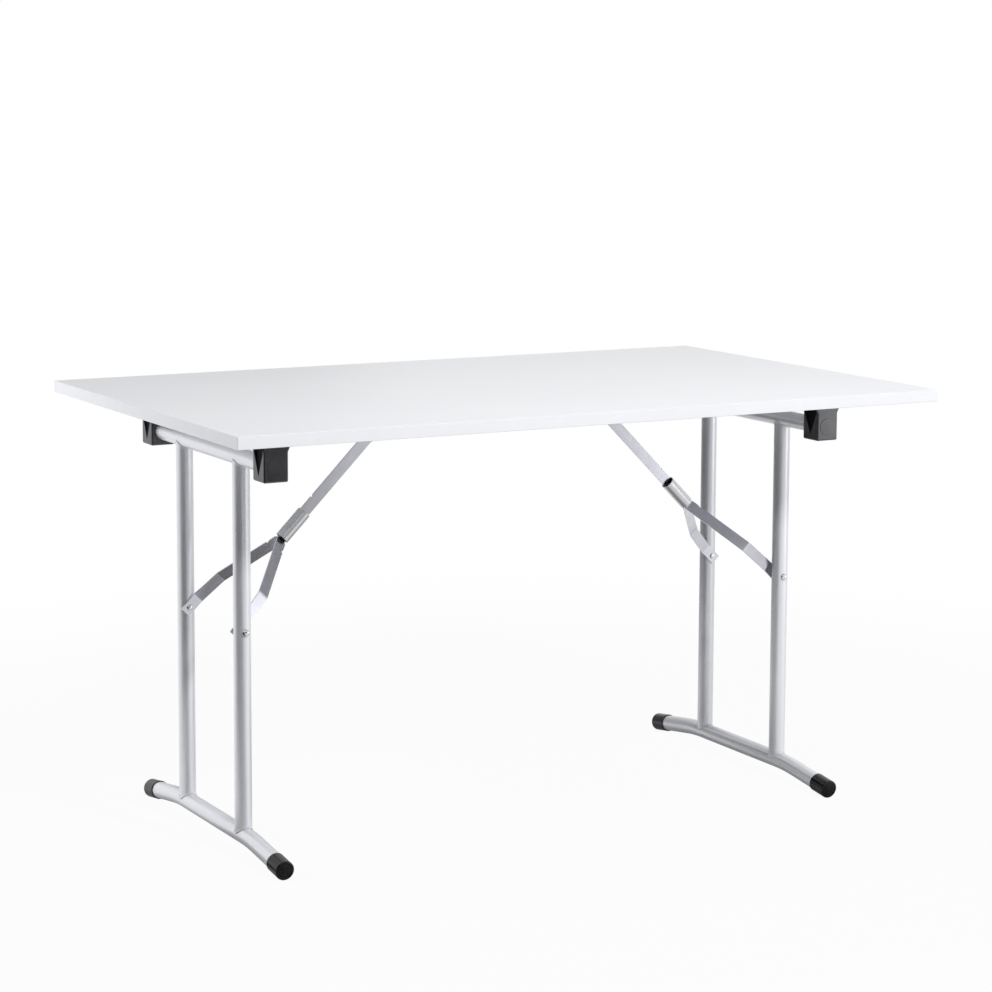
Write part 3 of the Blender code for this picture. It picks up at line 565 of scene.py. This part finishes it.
def makeBlocks():
    ceiling = underside - gap - block["pocketCeiling"]
    pattern = makeScrewMesh(underside + screw["reach"] - ceiling)
    screwOffset = (block["pocketTopWall"] + block["flangeWidth"] / 2) / 2
    blockY = (block["span"] - block["depth"]) / 2
    boreEnd = block["span"] / 2 - block["endWall"]
    # a rounded disc, half sunk into the closed end where the bore is
    mark, sunk = block["markRadius"], block["markHeight"]
    rim = arc((mark - sunk, sunk), sunk, 0.0, 90.0, 3)
    markProfile = [(0.0, 0.0), (mark, 0.0)] + rim + [(0.0, 2 * sunk)]
    for sideName, side in sides:
        for label, end in bothEnds(sideName, side):
            middle = end * blockY
            place = frameOf(Vector((pivot.x, middle, 0.0)), alongX, alongZ, alongY)
            body = prismShape(blockOutline(), -block["depth"] / 2, block["depth"] / 2, place)
            thing = placeObject(pieceName("block", label), turned(body, side))
            soften(thing, block["rounding"], block["roundingSteps"])
            bore = rodShape((pivot.x, end * (middle * end - block["depth"]), pivot.z),
                            (pivot.x, end * boreEnd, pivot.z), alongX, legs["tube"] + gap)
            carve(thing, turned(bore, side))
            for direction in (-1.0, 1.0):
                carve(thing, turned(pocketShape(direction, middle), side))
            soften(thing, block["edge"], block["edgeSteps"])
            face = Vector((pivot.x, end * (block["span"] / 2 - sunk), pivot.z))
            disc = turnedShape(markProfile, block["markFacets"], facing(face, (0.0, end, 0.0)))
            carve(thing, turned(disc, side), "UNION")
            dress(thing, "moulded", "tabletop", ["pivot_block_" + label])
            # painted shade on the pocket faces
            dullPockets(thing, side)
            for number, x in enumerate((pivot.x - screwOffset, pivot.x + screwOffset), start=1):
                foot = Vector((x, middle, ceiling - gap))
                node = "block_screw_" + label + "_" + str(number)
                placeScrew(pieceName("blockScrew", label) + str(number), pattern, foot, side, node)


makeBlocks()
print("pivot blocks and their screws done")


# Leg frames

foot = {"length": 0.566, "tilt": math.radians(7.7), "bendRadius": 0.400, "bendOffset": -0.00954,
        "bendSteps": 24}
tiltCos, tiltSin = math.cos(foot["tilt"]), math.sin(foot["tilt"])
cap = {"radius": 0.01598, "seat": 0.016, "depth": 0.034, "endWall": 0.004, "rounding": 0.0025,
       "ringDepth": 0.0008, "rings": ((0.30, 0.42), (0.62, 0.74)), "ringEdge": 0.00022, "lip": 0.0005,
       "gate": 0.0016, "gateDepth": 0.0004, "gateTaper": 0.7}
weld = {"radius": 0.0015, "standOff": 0.0002, "lift": 0.0007, "steps": 162, "facets": 12,
        "core": 0.72, "flank": 0.28, "ripples": 27, "ripple": 0.10, "waves": 3.0, "wave": 0.08, "shift": 40.0}
stay = {"reach": 0.286, "width": 0.0195, "thickness": 0.0025, "corner": 0.0015, "tongue": 0.0112,
        "shoulder": 0.0035, "bend": 0.013, "bendSteps": 9, "end": 0.0115, "toe": 0.022,
        "knuckle": 0.072, "knuckleSpread": 0.85, "notchDepth": 0.0026, "notchLength": 0.0055,
        "upperNotch": 0.027, "lowerNotch": 0.020, "edge": 0.0003}
rivetPoint = pivot - Vector((0.0, 0.0, stay["reach"]))
hingePoint = pivot + Vector((stay["reach"], 0.0, 0.0))
rivet = {"shank": 0.003, "legHead": 0.00625, "legHeight": 0.0034, "barHead": 0.0050, "barHeight": 0.0022,
         "kneeShank": 0.0025, "kneeHead": 0.0042, "kneeHeight": 0.0012, "pinHead": 0.00475,
         "pinHeight": 0.0020, "rim": 0.0004, "tipEdge": 0.0002, "facets": 48, "pinFacets": 40,
         "holeFacets": 32}


def footPlaces():
    endHeight = cap["rounding"] + (cap["seat"] - cap["rounding"]) * tiltCos - cap["rounding"] * tiltSin
    bendY = legOuter + foot["bendOffset"]
    run = foot["length"] / 2 - bendY - foot["bendRadius"] * tiltSin
    slope = run / tiltCos
    rise = foot["bendRadius"] * (1.0 - tiltCos) + slope * tiltSin
    return bendY, slope, endHeight + rise, endHeight


def footPath():
    bendY, slope, height = footPlaces()[:3]
    half = []
    for step in range(foot["bendSteps"] + 1):
        angle = foot["tilt"] * step / foot["bendSteps"]
        y = bendY + foot["bendRadius"] * math.sin(angle)
        z = height - foot["bendRadius"] * (1.0 - math.cos(angle))
        half.append(Vector((pivot.x, y, z)))
    along = Vector((0.0, tiltCos, -tiltSin))
    half.append(half[-1] + (slope - cap["endWall"] - gap) * along)
    return [Vector((point.x, -point.y, point.z)) for point in reversed(half)] + half


def legTubeShape(y, bottomAxis, topAxis):
    # a tube whose two ends are saddles on the foot tube and the pivot tube, just clear of them
    shape = bmesh.new()
    layers = []
    for radius in (legs["tube"], legs["tube"] - legs["wall"]):
        rings = []
        for level in range(4):
            ring = []
            for angle in around(legs["facets"]):
                x = radius * math.cos(angle)
                drop = math.sqrt(max((legs["tube"] + gap) ** 2 - x * x, 0.0))
                z = (bottomAxis + drop, bottomAxis + legs["collar"],
                     topAxis - legs["collar"], topAxis - drop)[level]
                ring.append(shape.verts.new((pivot.x + x, y + radius * math.sin(angle), z)))
            rings.append(ring)
        for first, second in zip(rings, rings[1:]):
            joinRings(shape, first, second)
        layers.append(rings)
    for level in (0, -1):
        joinRings(shape, layers[0][level], layers[1][level])
    return shape


def weldShape(y, axisHeight, up):
    # a rippled bead round the seam between a leg tube and a cross tube
    shape = bmesh.new()
    seam = legs["tube"] + weld["standOff"]
    angles = around(weld["steps"])
    centres = []
    for angle in angles:
        x = seam * math.cos(angle)
        drop = math.sqrt((seam + weld["lift"]) ** 2 - x * x)
        centres.append(Vector((pivot.x + x, y + seam * math.sin(angle), axisHeight + up * drop)))
    rings = []
    for step, (angle, centre) in enumerate(zip(angles, centres)):
        along = (centres[(step + 1) % weld["steps"]] - centres[step - 1]).normalized()
        outward = Vector((centre.x - pivot.x, centre.y - y, 0.0)).normalized()
        outward = (outward - outward.dot(along) * along).normalized()
        across = along.cross(outward)
        ripple = (weld["ripple"] * math.sin(weld["ripples"] * angle)
                  + weld["wave"] * math.sin(weld["waves"] * angle + y * weld["shift"]))
        radius = weld["radius"] * (weld["core"] + weld["flank"] * abs(math.sin(angle)) + ripple)
        rings.append([shape.verts.new(centre + radius * (math.cos(turn) * outward + math.sin(turn) * across))
                      for turn in around(weld["facets"])])
    for first, second in zip(rings, rings[1:] + rings[:1]):
        joinRings(shape, first, second)
    return shape


def capProfile():
    # a cup over the tube's end, with sunk rings and a gate mark in its end face
    outer, gate, soft = cap["radius"], cap["gate"], cap["ringEdge"]
    inner = legs["tube"] + gap
    face = cap["depth"] + cap["endWall"]
    gateFloor = face - cap["gateDepth"]
    profile = [(0.0, gateFloor), (gate * cap["gateTaper"], gateFloor), (gate, face)]
    for low, high in cap["rings"]:
        floor = face - cap["ringDepth"]
        profile += [(low * outer - soft, face), (low * outer, face - soft), (low * outer, floor + soft),
                    (low * outer + soft, floor), (high * outer - soft, floor), (high * outer, floor + soft),
                    (high * outer, face - soft), (high * outer + soft, face)]
    profile += reversed(arc((outer - cap["rounding"], face - cap["rounding"]), cap["rounding"], 0.0, 90.0, 8))
    lip = cap["lip"]
    profile += reversed(arc((outer - lip, lip), lip, 270.0, 360.0, 4))
    return profile + [(inner, 0.0), (inner, cap["depth"]), (0.0, cap["depth"])]


def domeProfile(radius, height, steps=10):
    # a low dome with a short upright rim, from its crown to its seat
    rim = rivet["rim"]
    points = []
    for step in range(steps + 1):
        angle = math.pi / 2 * step / steps
        points.append((radius * math.sin(angle), rim + (height - rim) * math.cos(angle)))
    return points + [(radius, 0.0)]


def headedProfile(headRadius, headHeight, shank, length):
    soft = rivet["tipEdge"]
    return domeProfile(headRadius, headHeight) + [(shank, 0.0), (shank, soft - length),
                                                  (shank - soft, -length), (0.0, -length)]


def twoHeadedProfile(headRadius, headHeight, shank, half):
    upper = [(radius, half + height) for radius, height in domeProfile(headRadius, headHeight)]
    upper.append((shank, half))
    return upper + [(radius, -height) for radius, height in reversed(upper)]


def makeLegFrames():
    footHeight, endHeight = footPlaces()[2:]
    tubeEnd = block["span"] / 2 - block["endWall"] - gap
    rivetProfile = headedProfile(rivet["legHead"], rivet["legHeight"], rivet["shank"], 2 * legs["tube"] + gap)
    for sideName, side in sides:
        body = sideName + "_leg_frame"
        shape = rodShape((pivot.x, -tubeEnd, pivot.z), (pivot.x, tubeEnd, pivot.z), alongX, legs["tube"],
                         legs["facets"])
        addPiece("pivotTube", sideName, side, shape, "silver", body, [sideName + "_pivot_tube"])
        shape = tubeShape(footPath(), alongX, legs["tube"], legs["facets"])
        addPiece("footTube", sideName, side, shape, "silver", body, [sideName + "_foot_tube"])
        for label, direction in bothEnds(sideName, side):
            y = direction * legY
            shape = legTubeShape(y, footHeight, pivot.z)
            tube = placeObject(pieceName("legTube", label), turned(shape, side))
            hole = rodShape((pivot.x, y - legs["tube"] - overrun, rivetPoint.z),
                            (pivot.x, y + legs["tube"] + overrun, rivetPoint.z), alongX,
                            rivet["shank"] + gap / 3, rivet["holeFacets"])
            carve(tube, turned(hole, side))
            dress(tube, "silver", body, ["leg_tube_" + label])
            for kind, height, up in (("topWeld", pivot.z, -1.0), ("footWeld", footHeight, 1.0)):
                addPiece(kind, label, side, weldShape(y, height, up), "silver", body, crease=60.0)
            seat = Vector((rivetPoint.x, direction * (legOuter + gap), rivetPoint.z))
            shape = turnedShape(rivetProfile, rivet["facets"], facing(seat, (0.0, direction, 0.0)))
            addPiece("legRivet", label, side, shape, "bright", body, ["leg_rivet_" + label])
            outward = Vector((0.0, direction * tiltCos, -tiltSin))
            endFace = Vector((pivot.x, direction * foot["length"] / 2, endHeight))
            mouth = endFace - (cap["depth"] + cap["endWall"]) * outward
            shape = turnedShape(capProfile(), legs["facets"], facing(mouth, outward))
            addPiece("footCap", label, side, shape, "glossy", body, ["foot_cap_" + label])


makeLegFrames()
print("leg frames, welds, rivets and foot caps done")


# Stays

sleeve = {"radius": 0.012, "wall": 0.0013, "length": 0.058, "overlap": 0.0266, "mouthClearance": 0.003,
          "facets": 72}
stayLength = (hingePoint - rivetPoint).length
kneeStation = stayLength / 2
kneePoint = (hingePoint + rivetPoint) / 2
sleeveMouth = kneeStation - sleeve["overlap"]
sleeveTop = sleeveMouth + sleeve["length"]
barHalf = stay["thickness"] / 2
lowerBarY = stay["thickness"] + gap
toeY = legInner - gap - barHalf
stayAlong = (hingePoint - rivetPoint).normalized()
stayAcross = stayAlong.cross(alongY)


def notch(station, edge):
    inset = edge - math.copysign(stay["notchDepth"], edge)
    return [(station, edge), (station, inset), (station + stay["notchLength"], edge)]


def upperBarOutline():
    half = stay["width"] / 2
    return (arc((kneeStation, 0.0), half, 270.0, 90.0, 32) + notch(sleeveTop + stay["upperNotch"], half)
            + arc((stayLength, 0.0), half, 90.0, -90.0, 32))


def lowerBarOutline(notchSide):
    half = stay["width"] / 2
    tongue = stay["tongue"] / 2
    shoulder = sleeveMouth - sleeve["mouthClearance"] + stay["shoulder"] / 2
    corner, end = stay["corner"], stay["end"]
    upper = [(shoulder, tongue), (shoulder - stay["shoulder"], half)]
    lower = [(shoulder - stay["shoulder"], -half), (shoulder, -tongue)]
    toe = (arc((corner - end, half - corner), corner, 90.0, 180.0, 5)
           + arc((corner - end, corner - half), corner, 180.0, 270.0, 5))
    step = notch(sleeveMouth - stay["lowerNotch"], notchSide * half)
    if notchSide > 0:
        upper += reversed(step)
    else:
        lower = step + lower
    return arc((kneeStation, 0.0), tongue, -90.0, 90.0, 24) + upper + toe + lower


def roundedPath(corners, radius, steps):
    path = [corners[0]]
    for before, corner, after in zip(corners, corners[1:], corners[2:]):
        back = (before - corner).normalized()
        ahead = (after - corner).normalized()
        opening = back.angle(ahead)
        tangent = radius / math.tan(opening / 2)
        centre = corner + (back + ahead).normalized() * radius / math.sin(opening / 2)
        start = corner + tangent * back - centre
        sign = 1.0 if (-back).cross(ahead) > 0 else -1.0
        for step in range(steps + 1):
            path.append(centre + Matrix.Rotation(sign * (math.pi - opening) * step / steps, 2) @ start)
    path.append(corners[-1])
    return path


def thickened(path, half):
    upper, lower = [], []
    for index, point in enumerate(path):
        along = courseAt(path, index)
        normal = Vector((-along.y, along.x))
        upper.append(point + half * normal)
        lower.append(point - half * normal)
    return [(point.x, point.y) for point in upper + lower[::-1]]


def lowerBarStrip(direction):
    corners = [(kneeStation + stay["tongue"], lowerBarY),
               (sleeveMouth - sleeve["mouthClearance"], lowerBarY),
               (stay["knuckle"], lowerBarY + stay["knuckleSpread"] * (toeY - lowerBarY)),
               (stay["toe"], toeY),
               (-stay["end"] - overrun, toeY)]
    points = [Vector((station, direction * y)) for station, y in corners]
    return thickened(roundedPath(points, stay["bend"], stay["bendSteps"]), barHalf)


def drillAlongY(thing, side, point, radius, reach):
    hole = rodShape((point.x, -reach, point.z), (point.x, reach, point.z), alongX, radius + gap / 3,
                    rivet["holeFacets"])
    carve(thing, turned(hole, side))


def sleeveProfile():
    outer, wall, length = sleeve["radius"], sleeve["wall"], sleeve["length"]
    middle = outer - wall / 2
    profile = arc((middle, length - wall / 2), wall / 2, 0.0, 180.0, 8)
    profile += arc((middle, wall / 2), wall / 2, 180.0, 360.0, 8)
    return profile + profile[:1]


def makeStays():
    flat = frameOf(rivetPoint, stayAlong, stayAcross, alongY)
    edgeOn = frameOf(rivetPoint, stayAlong, alongY, stayAcross)
    stack = lowerBarY + barHalf
    width = stay["width"] / 2 + overrun
    reach = toeY + overrun
    barRivetProfile = headedProfile(rivet["barHead"], rivet["barHeight"], rivet["shank"],
                                    stay["thickness"] + gap)
    kneeProfile = twoHeadedProfile(rivet["kneeHead"], rivet["kneeHeight"], rivet["kneeShank"], stack + gap)
    for sideName, side in sides:
        upperBody = sideName + "_upper_stay"
        lowerBody = sideName + "_lower_stay"
        shape = prismShape(upperBarOutline(), -barHalf, barHalf, flat)
        bar = placeObject(pieceName("upperBar", sideName), turned(shape, side))
        drillAlongY(bar, side, kneePoint, rivet["kneeShank"], stack + overrun)
        drillAlongY(bar, side, hingePoint, rivet["shank"], stack + overrun)
        soften(bar, stay["edge"], angle=30.0)
        dress(bar, "zinc", upperBody, [sideName + "_stay_upper_bar"])
        for label, direction in bothEnds(sideName, side):
            shape = prismShape(lowerBarStrip(direction), -width, width, edgeOn)
            bar = placeObject(pieceName("lowerBar", label), turned(shape, side))
            shape = prismShape(lowerBarOutline(direction), -reach, reach, flat)
            carve(bar, turned(shape, side), "INTERSECT")
            drillAlongY(bar, side, kneePoint, rivet["kneeShank"], reach)
            drillAlongY(bar, side, rivetPoint, rivet["shank"], reach)
            soften(bar, stay["edge"], angle=30.0)
            dress(bar, "zinc", lowerBody, ["stay_lower_bar_" + label])
            seat = Vector((rivetPoint.x, direction * (toeY - barHalf - gap), rivetPoint.z))
            shape = turnedShape(barRivetProfile, rivet["facets"], facing(seat, (0.0, -direction, 0.0)))
            addPiece("barRivet", label, side, shape, "bright", lowerBody, ["bar_rivet_" + label])
        shape = turnedShape(kneeProfile, rivet["pinFacets"], facing(kneePoint, alongY))
        addPiece("kneeRivet", sideName, side, shape, "bright", upperBody, [sideName + "_knee_rivet"])
        low = flat @ Vector((sleeveMouth, 0.0, 0.0))
        shape = turnedShape(sleeveProfile(), sleeve["facets"], facing(low, stayAlong))
        addPiece("lockingSleeve", sideName, side, shape, "sleeve", sideName + "_sleeve",
                 [sideName + "_locking_sleeve"], 50.0)


makeStays()
print("stays and sleeves done")


# Brackets

bracket = {"length": 0.056, "width": 0.028, "plate": 0.0025, "lug": 0.003, "lugClearance": 0.0005,
           "web": 0.003, "lugRounding": 0.010, "edge": 0.0004}
lugInner = barHalf + bracket["lugClearance"]
lugOuter = lugInner + bracket["lug"]


def bracketSection():
    top = underside - gap
    plate = top - bracket["plate"]
    bottom = hingePoint.z - bracket["lugRounding"] - overrun
    half = bracket["length"] / 2
    right = [(half, top), (half, plate), (lugOuter, plate), (lugOuter, bottom), (lugInner, bottom),
             (lugInner, plate - bracket["web"])]
    return right + [(-y, z) for y, z in reversed(right)]


def bracketOutline():
    shoulder = underside - gap - bracket["plate"]
    half = bracket["width"] / 2
    lug = arc((0.0, hingePoint.z), bracket["lugRounding"], 180.0, 360.0, 32)
    return ([(half, underside + overrun), (-half, underside + overrun), (-half, shoulder)] + lug
            + [(half, shoulder)])


def makeBrackets():
    middle = Vector((hingePoint.x, 0.0, 0.0))
    reach = bracket["width"] / 2 + overrun
    across = bracket["length"] / 2 + overrun
    seat = underside - gap - bracket["plate"]
    pattern = makeScrewMesh(underside + screw["reach"] - seat)
    screwY = (bracket["length"] / 2 + lugOuter) / 2
    pinProfile = twoHeadedProfile(rivet["pinHead"], rivet["pinHeight"], rivet["shank"], lugOuter + gap)
    for sideName, side in sides:
        section = prismShape(bracketSection(), -reach, reach, frameOf(middle, alongY, alongZ, alongX))
        thing = placeObject(pieceName("bracket", sideName), turned(section, side))
        outline = prismShape(bracketOutline(), -across, across, frameOf(middle, alongX, alongZ, alongY))
        carve(thing, turned(outline, side), "INTERSECT")
        drillAlongY(thing, side, hingePoint, rivet["shank"], lugOuter + overrun)
        soften(thing, bracket["edge"], angle=35.0)
        dress(thing, "zinc", "tabletop", [sideName + "_stay_bracket"])
        for number, y in enumerate((-screwY, screwY), start=1):
            place = Vector((hingePoint.x, y, seat - gap))
            placeScrew(pieceName("bracketScrew", sideName) + str(number), pattern, place, side,
                       sideName + "_bracket_screw_" + str(number))
        shape = turnedShape(pinProfile, rivet["pinFacets"], facing(hingePoint, alongY))
        addPiece("hingePin", sideName, side, shape, "bright", "tabletop", [sideName + "_hinge_pin"])


makeBrackets()
print("brackets done")


# Floor, screens and light

pureWhite = (1.0, 1.0, 1.0, 1.0)
studio = {"floorReach": 16.0, "whiteShare": 0.95, "fadeStart": 1.0, "fadeEnd": 2.4,
          "floor": {"Base Color": (0.60, 0.60, 0.60, 1.0), "Roughness": 0.9, "Specular IOR Level": 0.1},
          "ambient": {"Color": (0.97, 0.98, 1.0, 1.0), "Strength": 0.26}}
# painted shade on the floor, which only gloss sees: each patch's middle, stretch, start and end of the fade,
# and how dark
paintedShadePatches = (((0.0, 0.0), (1.0, 1.0), 0.15, 0.50, 0.50), ((-0.72, -0.56), (1.0, 1.0), 0.24, 0.46, 0.80),
          ((-0.52, 0.02), (9.0, 1.0), 0.22, 0.62, 0.75), ((0.52, -0.02), (9.0, 1.0), 0.22, 0.62, 0.80),
          ((0.29, -0.08), (2.4, 1.0), 0.25, 0.45, 0.88), ((-0.605, -0.10), (1.0, 1.0), 0.09, 0.20, 0.85))


def isSeenDirectly(tree):
    # camera, mirror and clear rays see the white studio, and the rest see the plain light level
    rays = addNode(tree, "ShaderNodeLightPath").outputs
    seen = calculate(tree, "MAXIMUM", rays["Is Camera Ray"], rays["Is Glossy Ray"])
    return calculate(tree, "MAXIMUM", seen, rays["Is Transmission Ray"])


def paintedFloorShade(tree):
    # painted shade: darker patches in the floor's white glow, under and beside the table, which only gloss
    # sees
    place = restPlace(tree)
    deepest = None
    for (x, y), stretch, start, end, darkness in paintedShadePatches:
        moved = calculateVector(tree, "SUBTRACT", place, (x, y, 0.0))
        scaled = calculateVector(tree, "MULTIPLY", moved, (*stretch, 1.0))
        shade = fade(tree, calculateVector(tree, "LENGTH", scaled), darkness, 0.0, start, end)
        deepest = shade if deepest is None else calculate(tree, "MAXIMUM", deepest, shade)
    rays = addNode(tree, "ShaderNodeLightPath").outputs
    return calculate(tree, "MULTIPLY", deepest, rays["Is Glossy Ray"])


def whiteGlow(tree, strength):
    return addNode(tree, "ShaderNodeEmission", {"Color": pureWhite, "Strength": strength}).outputs[0]


def mixShaders(tree, share, first, second):
    return addNode(tree, "ShaderNodeMixShader", {0: share, 1: first, 2: second}).outputs[0]


def makeFloor():
    material, tree, shader = newMaterial("studioFloor")
    setInputs(shader, studio["floor"])
    distance = calculateVector(tree, "LENGTH", restPlace(tree))
    whiteness = fade(tree, distance, studio["whiteShare"], 1.0, studio["fadeStart"], studio["fadeEnd"])
    share = calculate(tree, "MULTIPLY", whiteness, isSeenDirectly(tree))
    # the floor's white glow, dimmed by the painted shade where gloss sees it
    light = calculate(tree, "SUBTRACT", 1.0, paintedFloorShade(tree))
    setSurface(tree, mixShaders(tree, share, shader.outputs[0], whiteGlow(tree, light)))
    material.cycles.emission_sampling = "NONE"      # the floor's white is only seen, and lights nothing
    shape = bmesh.new()
    bmesh.ops.create_grid(shape, x_segments=8, y_segments=8, size=studio["floorReach"])
    floor = linkMesh("floor", shape, material)


def makeWorld():
    world = bpy.data.worlds.new("whiteStudio")
    bpy.context.scene.world = world
    world.use_nodes = True
    world.cycles.sampling_method = "NONE"
    tree = world.node_tree
    tree.nodes.clear()
    ambient = addNode(tree, "ShaderNodeBackground", studio["ambient"])
    white = addNode(tree, "ShaderNodeBackground", {"Color": pureWhite, "Strength": 1.0})
    both = mixShaders(tree, isSeenDirectly(tree), ambient.outputs[0], white.outputs[0])
    addNode(tree, "ShaderNodeOutputWorld", {"Surface": both})


def glossOnly(thing):
    thing.visible_camera = False
    thing.visible_diffuse = False
    thing.visible_shadow = False
    thing.visible_transmission = False


screenFades = {"steps": 24, "side": 0.55, "top": 0.60, "foot": 0.30, "footOnFloor": 0.001}
# screens that only gloss sees, which paint dark reflections, and a pale flag that paints a dimmer white
# reflection: each one's middle and half width in degrees, foot, top, darkness and distance from the middle
screens = {
    "darkFrontScreen": (-56.0, 52.0, 0.0, 0.90, 1.0, 1.15),
    "darkUpperScreen": (-10.0, 28.0, 0.15, 0.95, 0.82, 1.12),
    "paleFlag": (42.5, 5.0, 0.15, 0.85, 0.30, 1.12),
    "darkBackScreen": (176.0, 36.0, 0.0, 0.74, 0.5, 1.15),
    "darkBackUpperScreen": (190.0, 32.0, 0.74, 1.02, 0.5, 1.15),
}


def makeScreen(name, middle, half, low, high, darkness, radius):
    # a glowing screen round part of the set that only gloss sees: a painted dark reflection in its middle,
    # fading to the set's white
    material, tree = newMaterial(name)[:2]
    place = splitPlace(tree, addNode(tree, "ShaderNodeUVMap").outputs[0])
    along = fade(tree, place[0], 0.0, darkness, 0.0, screenFades["side"])
    up = fade(tree, place[1], 1.0, 0.0, screenFades["top"], 1.0)
    down = fade(tree, place[1], 0.0, 1.0, 0.0, screenFades["foot" if low else "footOnFloor"])
    cover = calculate(tree, "MULTIPLY", along, calculate(tree, "MULTIPLY", down, up))
    setSurface(tree, whiteGlow(tree, calculate(tree, "SUBTRACT", 1.0, cover)))
    material.cycles.emission_sampling = "NONE"
    shape = bmesh.new()
    layer = shape.loops.layers.uv.new("along")
    columns = []
    steps = screenFades["steps"]
    for step in range(steps + 1):
        share = 2.0 * step / steps - 1.0
        angle = math.radians(middle + half * share)
        x, y = radius * math.sin(angle), -radius * math.cos(angle)
        columns.append((1.0 - abs(share), shape.verts.new((x, y, low)), shape.verts.new((x, y, high))))
    for (inset, bottom, top), (nextInset, nextBottom, nextTop) in zip(columns, columns[1:]):
        face = shape.faces.new((bottom, nextBottom, nextTop, top))
        corners = ((inset, 0.0), (nextInset, 0.0), (nextInset, 1.0), (inset, 1.0))
        for loop, where in zip(face.loops, corners):
            loop[layer].uv = where
    glossOnly(linkMesh(name, shape, material))


card = {"outline": ((-0.60, 0.0), (0.95, 0.0), (0.95, 0.66), (0.24, 0.66), (0.20, 0.59), (-0.60, 0.59)),
        "surface": {"Base Color": (0.02, 0.02, 0.025, 1.0), "Roughness": 0.95, "Specular IOR Level": 0.0},
        "clearAtFloor": 0.65, "solidFrom": 0.50}


def makeCard():
    # a dark card below the folded legs, clear from the left and thinner near the floor: it paints dark
    # reflections in the right legs' gloss and painted shade where soft light meets it, and it casts no shadow
    material, tree, shader = newMaterial("darkCard")
    setInputs(shader, card["surface"])
    behind = addNode(tree, "ShaderNodeNewGeometry").outputs["Backfacing"]
    height = splitPlace(tree, restPlace(tree))[2]
    thin = fade(tree, height, card["clearAtFloor"], 0.0, 0.0, card["solidFrom"])
    seeThrough = calculate(tree, "MAXIMUM", behind, thin)
    clear = addNode(tree, "ShaderNodeBsdfTransparent").outputs[0]
    setSurface(tree, mixShaders(tree, seeThrough, shader.outputs[0], clear))
    shape = bmesh.new()
    shape.faces.new([shape.verts.new((0.0, y, z)) for y, z in card["outline"]])
    thing = linkMesh("darkCard", shape, material)
    glossOnly(thing)
    thing.visible_diffuse = True


# each lamp's place, target, size, watts and colour, and whether gloss sees it
lamps = {
    "keyLamp": ((0.5, -3.6, 3.4), (0.0, 0.0, 0.45), (0.45, 0.45), 113.0, (0.99, 0.995, 1.0), False),
    "glintLamp": ((0.5, -3.6, 3.4), (0.0, 0.0, 0.45), (0.45, 0.45), 12.0, (0.99, 0.995, 1.0), True),
    "frontLamp": ((3.05, -2.85, 0.45), (0.2, -0.1, 0.5), (1.7, 0.8), 12.5, (0.96, 0.97, 1.0), True),
    "sideLamp": ((-2.4, 2.6, 0.95), (-0.5, 0.2, 0.5), (1.6, 1.3), 84.0, (0.98, 0.985, 1.0), False),
    "topLamp": ((0.5, -0.8, 2.6), (0.2, -0.1, 0.7), (1.8, 1.4), 9.0, (0.98, 0.99, 1.0), False),
}


def makeLamp(name, place, target, size, watts, colour, inGloss):
    light = bpy.data.lights.new(name, "AREA")
    light.shape = "RECTANGLE"
    light.size, light.size_y = size
    light.energy = watts
    light.color = colour
    lamp = linkObject(name, light)
    lamp.location = place
    lamp.rotation_euler = (Vector(target) - Vector(place)).to_track_quat("-Z", "Y").to_euler()
    lamp.visible_camera = False
    lamp.visible_glossy = inGloss
    return lamp


def keepOff(lamp):
    # the lamp leaves out what hangs under the board's right end, which is darker in the photograph
    shaded = bpy.data.collections.new(lamp.name + "Shaded")
    for thing in bpy.context.scene.objects:
        if "Right" in thing.name and not thing.name.startswith("band"):
            shaded.objects.link(thing)
    for row in shaded.collection_objects:
        row.light_linking.link_state = "EXCLUDE"
    lamp.light_linking.receiver_collection = shaded


makeFloor()
makeWorld()
for name, row in screens.items():
    makeScreen(name, *row)
makeCard()
for name, row in lamps.items():
    lamp = makeLamp(name, *row)
    if name == "sideLamp":
        keepOff(lamp)
print("studio done")


# Camera

view = {"place": (-2.2738, -4.1656, 1.3016), "yaw": 28.70, "pitch": 7.11, "roll": 0.25,
        "sensor": 36.0, "lens": 100.52, "shiftY": -0.10}


def makeCamera():
    lens = bpy.data.cameras.new("camera")
    lens.sensor_width = view["sensor"]
    lens.lens = view["lens"]
    lens.shift_y = view["shiftY"]
    camera = linkObject("camera", lens)
    aim = (Matrix.Rotation(math.radians(-view["yaw"]), 4, "Z")
           @ Matrix.Rotation(math.radians(90.0 - view["pitch"]), 4, "X")
           @ Matrix.Rotation(math.radians(view["roll"]), 4, "Z"))
    camera.matrix_world = Matrix.Translation(view["place"]) @ aim
    bpy.context.scene.camera = camera
    bpy.context.scene.view_settings.view_transform = "Standard"


makeCamera()
